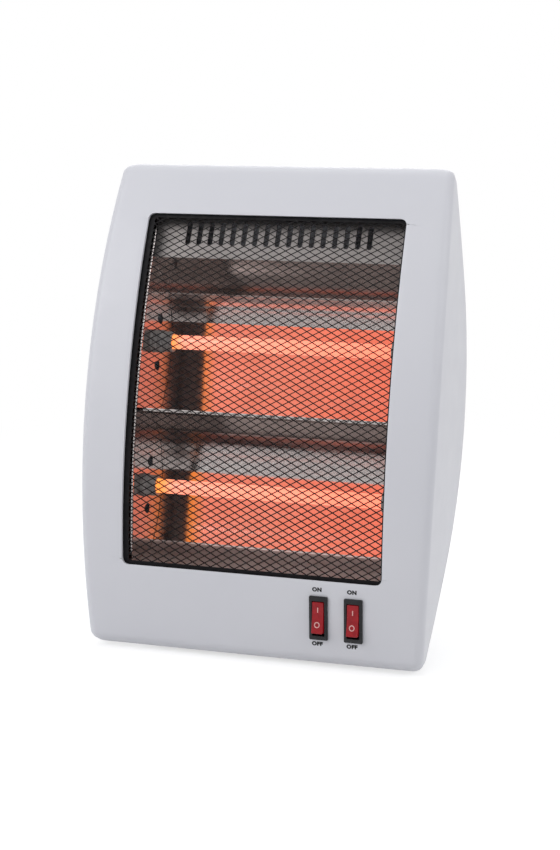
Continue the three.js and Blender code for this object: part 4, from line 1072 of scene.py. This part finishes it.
def plinth_outline(inset):
    """The plinth's side outline in the floor frame, drawn in by a wall for its inside."""
    rear, front = PLINTH_REAR - inset, PLINTH_FRONT + inset
    low = -5 if inset else FOOT_HEIGHT
    meet = Vector(floor_point(cover_skin(SHOULDER_Z) - 1 - 1.3 * inset, SHOULDER_Z - inset))
    start, middle = Vector((rear, HEEL_HEIGHT)), Vector((rear - 3, HEEL_HEIGHT + 34))
    heel = [
        tuple((1 - t) ** 2 * start + 2 * t * (1 - t) * middle + t * t * meet) for t in between(0, 1, 1 / 14)
    ]
    up_front = floor_point(cover_skin(14 - COVER_END) - COVER_SKIRT, 14 - COVER_END)
    return [
        (front, low),
        (rear, low),
        *heel,
        floor_point(cover_skin(SHOULDER_Z) - COVER_SKIRT, SHOULDER_Z - inset),
        (max(up_front[0], front), up_front[1]),
    ]


def plinth_block(inset, half_width, rounding):
    bm = bm_extrude_x(plinth_outline(inset), -half_width, half_width)
    sides = [e for e in bm.edges if abs(e.verts[0].co.x - e.verts[1].co.x) < 1e-6]
    bevel(bm, sides, rounding, 4)
    bmesh.ops.transform(bm, matrix=TO_LEANING, verts=bm.verts)
    return bm


def rod_y(profile, x, z, sides=28):
    """A turned piece about a line along y, from [radius, y] points."""
    bm = bm_lathe(profile, sides)
    turn = Matrix.Translation((x, 0, z)) @ Matrix.Rotation(-math.pi / 2, 4, "X")
    bmesh.ops.transform(bm, matrix=turn, verts=bm.verts)
    return bm


def carved(obj, bm, operation="DIFFERENCE"):
    """Joins a bmesh to an object's solid, or cuts it away."""
    tool = in_scene("tool", as_mesh("tool", bm))
    step = obj.modifiers.new("carved", "BOOLEAN")
    step.operation, step.solver, step.object = operation, "EXACT", tool
    result = evaluated(obj)
    obj.modifiers.clear()
    obj.data = result
    bpy.data.objects.remove(tool)


def pocket_block(profile, half_width, rounding=0.0):
    bm = bm_extrude_x(profile, -half_width, half_width)
    if rounding:
        ends = [e for e in bm.edges if abs(e.verts[0].co.x - e.verts[1].co.x) < 1e-6]
        bevel(bm, ends, rounding, 4)
    return bm


def carve_handle(obj):
    """The carrying recess: a pocket that goes up behind its upper lip."""
    top = HANDLE_HIGH + HANDLE_HOOK

    def deep(z):
        return cover_skin(z) - HANDLE_DEPTH

    def lip(z):
        return cover_skin(z) - 2 * COVER_WALL

    low, high = HANDLE_LOW - COVER_WALL, top + COVER_WALL
    outside = [(cover_skin(z) - 1, z) for z in (low, high)]
    outside += [(deep(z) - COVER_WALL, z) for z in (high, low)]
    carved(obj, pocket_block(outside, HANDLE_X + COVER_WALL), "UNION")
    inside = [
        (deep(HANDLE_LOW), HANDLE_LOW),
        (cover_skin(HANDLE_LOW) + 5, HANDLE_LOW),
        (cover_skin(HANDLE_HIGH) + 5, HANDLE_HIGH),
        (lip(HANDLE_HIGH), HANDLE_HIGH),
        (lip(top), top),
        (deep(top), top),
    ]
    carved(obj, pocket_block(inside, HANDLE_X, 3))


def rear_cover():
    obj = in_scene("cover", as_mesh("cover", cover_loft(0, 0)))
    carved(obj, plinth_block(0, PLINTH_X, 3), "UNION")
    carved(obj, cover_loft(COVER_WALL, 20))
    carved(obj, plinth_block(COVER_WALL, PLINTH_X - COVER_WALL, 1))
    carve_handle(obj)
    slots = bmesh.new()
    for z in LOUVRE_ROWS:
        for side in (-1, 1):
            depths = (cover_skin(z) - COVER_WALL - 4, REAR_DEPTH)
            outline = rounded_outline(LOUVRE_HALF, LOUVRE_RISE, LOUVRE_RISE - 0.01)
            slot = lofted([[(px, y, pz) for px, pz in outline] for y in depths])
            add_to(slots, slot, Matrix.Translation((side * LOUVRE_X, 0, z)))
    carved(obj, slots)
    columns, seats = bmesh.new(), bmesh.new()
    for x, z, below in COVER_SCREWS:
        seat = cover_skin(z) - below
        column = rod_y(rod(SEAT_COLUMN, seat - 2.4, REAR_DEPTH), x, z)
        for v in column.verts:
            v.co.y = min(v.co.y, cover_skin(v.co.z) - 0.3)
        add_to(columns, column)
        hole = [*rod(SHANK_BORE, seat - 5, seat)[:3], *rod(HEAD_BORE, seat, REAR_DEPTH + 5)[1:]]
        add_to(seats, rod_y(hole, x, z))
    carved(obj, columns, "UNION")
    carved(obj, seats)
    inlet = rod(INLET_RADIUS + FIT, PLINTH_REAR - 8, PLINTH_REAR + 5)
    carved(obj, add_to(bmesh.new(), rod_y(inlet, INLET_X, INLET_Z), TO_LEANING))
    softly = obj.modifiers.new("soft edges", "BEVEL")
    softly.width, softly.segments = 0.5, 2
    softly.limit_method, softly.angle_limit = "ANGLE", math.radians(40)
    piece("rear_shell", taken(obj, 1e-3), LEANING, SHELL, ["rear_cover"], sharp=40)


rear_cover()


def cross_screw(node, matrix):
    """A pan-head screw with a cross recess, its seat at z = 0 and its head above."""
    radius, height = 3.2, 1.8
    dome = [(radius * math.cos(a), 0.5 + (height - 0.5) * math.sin(a)) for a in arc_steps(6)]
    bm = bm_lathe([(0, -9), (1.5, -9), (1.5, 0), (radius, 0), *dome[:-1], (0, height)], 28)
    obj = in_scene("screw", as_mesh("screw", bm))
    for turn in (0, math.pi / 2):
        bar = bm_box(-1.75, 1.75, -0.36, 0.36, 0.6, 3)
        for v in bar.verts:
            v.co.x *= 1 if v.co.z > 1 else 0.45
        carved(obj, add_to(bmesh.new(), bar, Matrix.Rotation(turn + 0.4, 4, "Z")))
    piece(f"cross_{node}", taken(obj), matrix, ZINC, [node], sharp=40)


for number, (screw_x, screw_z, below) in enumerate(COVER_SCREWS, 1):
    seat_y = cover_skin(screw_z) - below + FIT
    upright = Matrix.Rotation(-math.pi / 2, 4, "X")
    cross_screw(f"cover_screw_{number}", LEANING @ Matrix.Translation((screw_x, seat_y, screw_z)) @ upright)
number = 0
for screw_x in (5.5 - PLINTH_X, PLINTH_X - 5.5):
    for screw_y in (PLINTH_FRONT + 8, PLINTH_REAR - 9):
        number += 1
        place = Matrix.Translation((screw_x, screw_y, FOOT_HEIGHT - FIT + 0.1))
        cross_screw(f"base_screw_{number}", FLOOR @ place @ Matrix.Rotation(math.pi, 4, "X"))

# ---------------------------------------------------------------- finishes of the CAD nodes that show

KEPT = {
    ZINC: [
        *[f"flange_screw_{i}" for i in range(1, 5)],
        *[f"terminal_{level}_{side}" for level in TUBES for side in ("left", "right")],
        "heat_shield",
        "thermal_cutout",
        "tip_spring",
    ],
    BRASS: [f"switch_spade_{side}_{end}" for side in ("left", "right") for end in ("top", "bottom")],
    BLACK: ["base_plate", "tip_switch_body"],
    # The plunger takes the lens's faint emission: a painted glow, as it has no lamp.
    RED: ["tip_plunger"],
    RUBBER: [
        "cord_inlet_bush",
        *[f"foot_{end}_{side}" for end in ("front", "rear") for side in ("left", "right")],
    ],
    SLEEVE: [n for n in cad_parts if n.startswith("wire_")],
    BLOCK: ["terminal_block"],
}
for kept_material, kept_nodes in KEPT.items():
    for node in kept_nodes:
        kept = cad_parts[node]
        kept.data.materials.clear()
        kept.data.materials.append(kept_material)
        smoothed(kept.data, 32)

# ---------------------------------------------------------------- stage, light and camera


def backdrop_shader(tree, plain, seen):
    """Shows one shader to the camera and to mirrors, and the plain one to all other light."""
    path = tree.nodes.new("ShaderNodeLightPath").outputs
    rays = path["Is Camera Ray"]
    for extra in ("Is Glossy Ray", "Is Transmission Ray"):
        rays = add_node(tree, "Math", "Value", {0: rays, 1: path[extra]}, operation="MAXIMUM")
    return add_node(tree, "MixShader", "Shader", {0: rays, 1: plain, 2: seen})


def studio_world(level):
    world = bpy.data.worlds.new("studio")
    bpy.context.scene.world = world
    world.use_nodes = True
    tree = world.node_tree
    plain = add_node(tree, "Background", "Background", {"Color": (0.95, 0.97, 1.0), "Strength": level})
    white = add_node(tree, "Background", "Background", {"Color": (1, 1, 1), "Strength": 1.0})
    tree.links.new(backdrop_shader(tree, plain, white), tree.nodes["World Output"].inputs["Surface"])


def floor(half):
    bm = bmesh.new()
    corners = ((-half, -half, 0), (half, -half, 0), (half, half, 0), (-half, half, 0))
    bm.faces.new([bm.verts.new(corner) for corner in corners])
    obj = in_scene("floor", as_mesh("floor", bm))
    material = bpy.data.materials.new("floor_white")
    material.use_nodes = True
    tree = material.node_tree
    shaded = tree.nodes["Principled BSDF"]
    shaded.inputs["Base Color"].default_value = (0.8, 0.8, 0.8, 1)
    shaded.inputs["Roughness"].default_value = 0.9
    shaded.inputs["Specular IOR Level"].default_value = 0.1
    glow = add_node(tree, "Emission", "Emission", {"Strength": 0.62})
    matte = add_node(tree, "BsdfDiffuse", "BSDF", {"Color": (0.55, 0.55, 0.55)})
    near = add_node(tree, "AddShader", "Shader", {0: glow, 1: matte})
    # Away from the object the floor turns into the plain white backdrop.
    place = add_node(tree, "TexCoord", "Object", {})
    away = add_node(tree, "VectorMath", "Value", {0: place}, operation="LENGTH")
    reach = {"Value": away, "From Min": 0.25, "From Max": 0.8}
    fade = add_node(tree, "MapRange", "Result", reach, interpolation_type="SMOOTHSTEP")
    white = add_node(tree, "Emission", "Emission", {"Strength": 1.0})
    seen = add_node(tree, "MixShader", "Shader", {0: fade, 1: near, 2: white})
    surface = tree.nodes["Material Output"].inputs["Surface"]
    tree.links.new(backdrop_shader(tree, shaded.outputs["BSDF"], seen), surface)
    obj.data.materials.append(material)


def soft_lamp(name, place, aim, size, power):
    lamp = bpy.data.lights.new(name, "AREA")
    lamp.shape, lamp.energy = "RECTANGLE", power
    lamp.size, lamp.size_y = size
    obj = in_scene(name, lamp)
    obj.location = place
    obj.rotation_euler = (Vector(aim) - Vector(place)).to_track_quat("-Z", "Y").to_euler()


def photo_camera():
    """The photograph's camera, found by fitting the housing's outline."""
    azimuth, elevation, distance, long_side = math.radians(16.45), math.radians(11.42), 1.2, 850
    back = Matrix.Rotation(azimuth, 3, "Z") @ Matrix.Rotation(-elevation, 3, "X") @ Vector((0, -1, 0))
    data = bpy.data.cameras.new("camera")
    data.lens, data.sensor_width = 70.6, 36
    data.shift_x, data.shift_y = 12.7 / long_side, -15.8 / long_side
    data.clip_start, data.clip_end = 0.05, 50
    camera = in_scene("camera", data)
    camera.location = ORIGIN + back * distance
    camera.rotation_euler = (-back).to_track_quat("-Z", "Y").to_euler()
    bpy.context.scene.camera = camera


bpy.context.scene.view_settings.view_transform = "Standard"
studio_world(0.42)
floor(6)
soft_lamp("key", (-1.5, -1.5, 1.5), (0, 0, 0.2), (1.4, 1.4), 25)
soft_lamp("fill", (2.1, -0.2, 1.2), (0, 0, 0.18), (1.4, 1.4), 13)
soft_lamp("top", (0.1, 0.3, 1.9), (0, 0, 0.2), (1.6, 1.6), 8)
soft_lamp("back", (-0.6, 2.0, 1.2), (0, 0, 0.2), (1.6, 1.2), 10)
photo_camera()
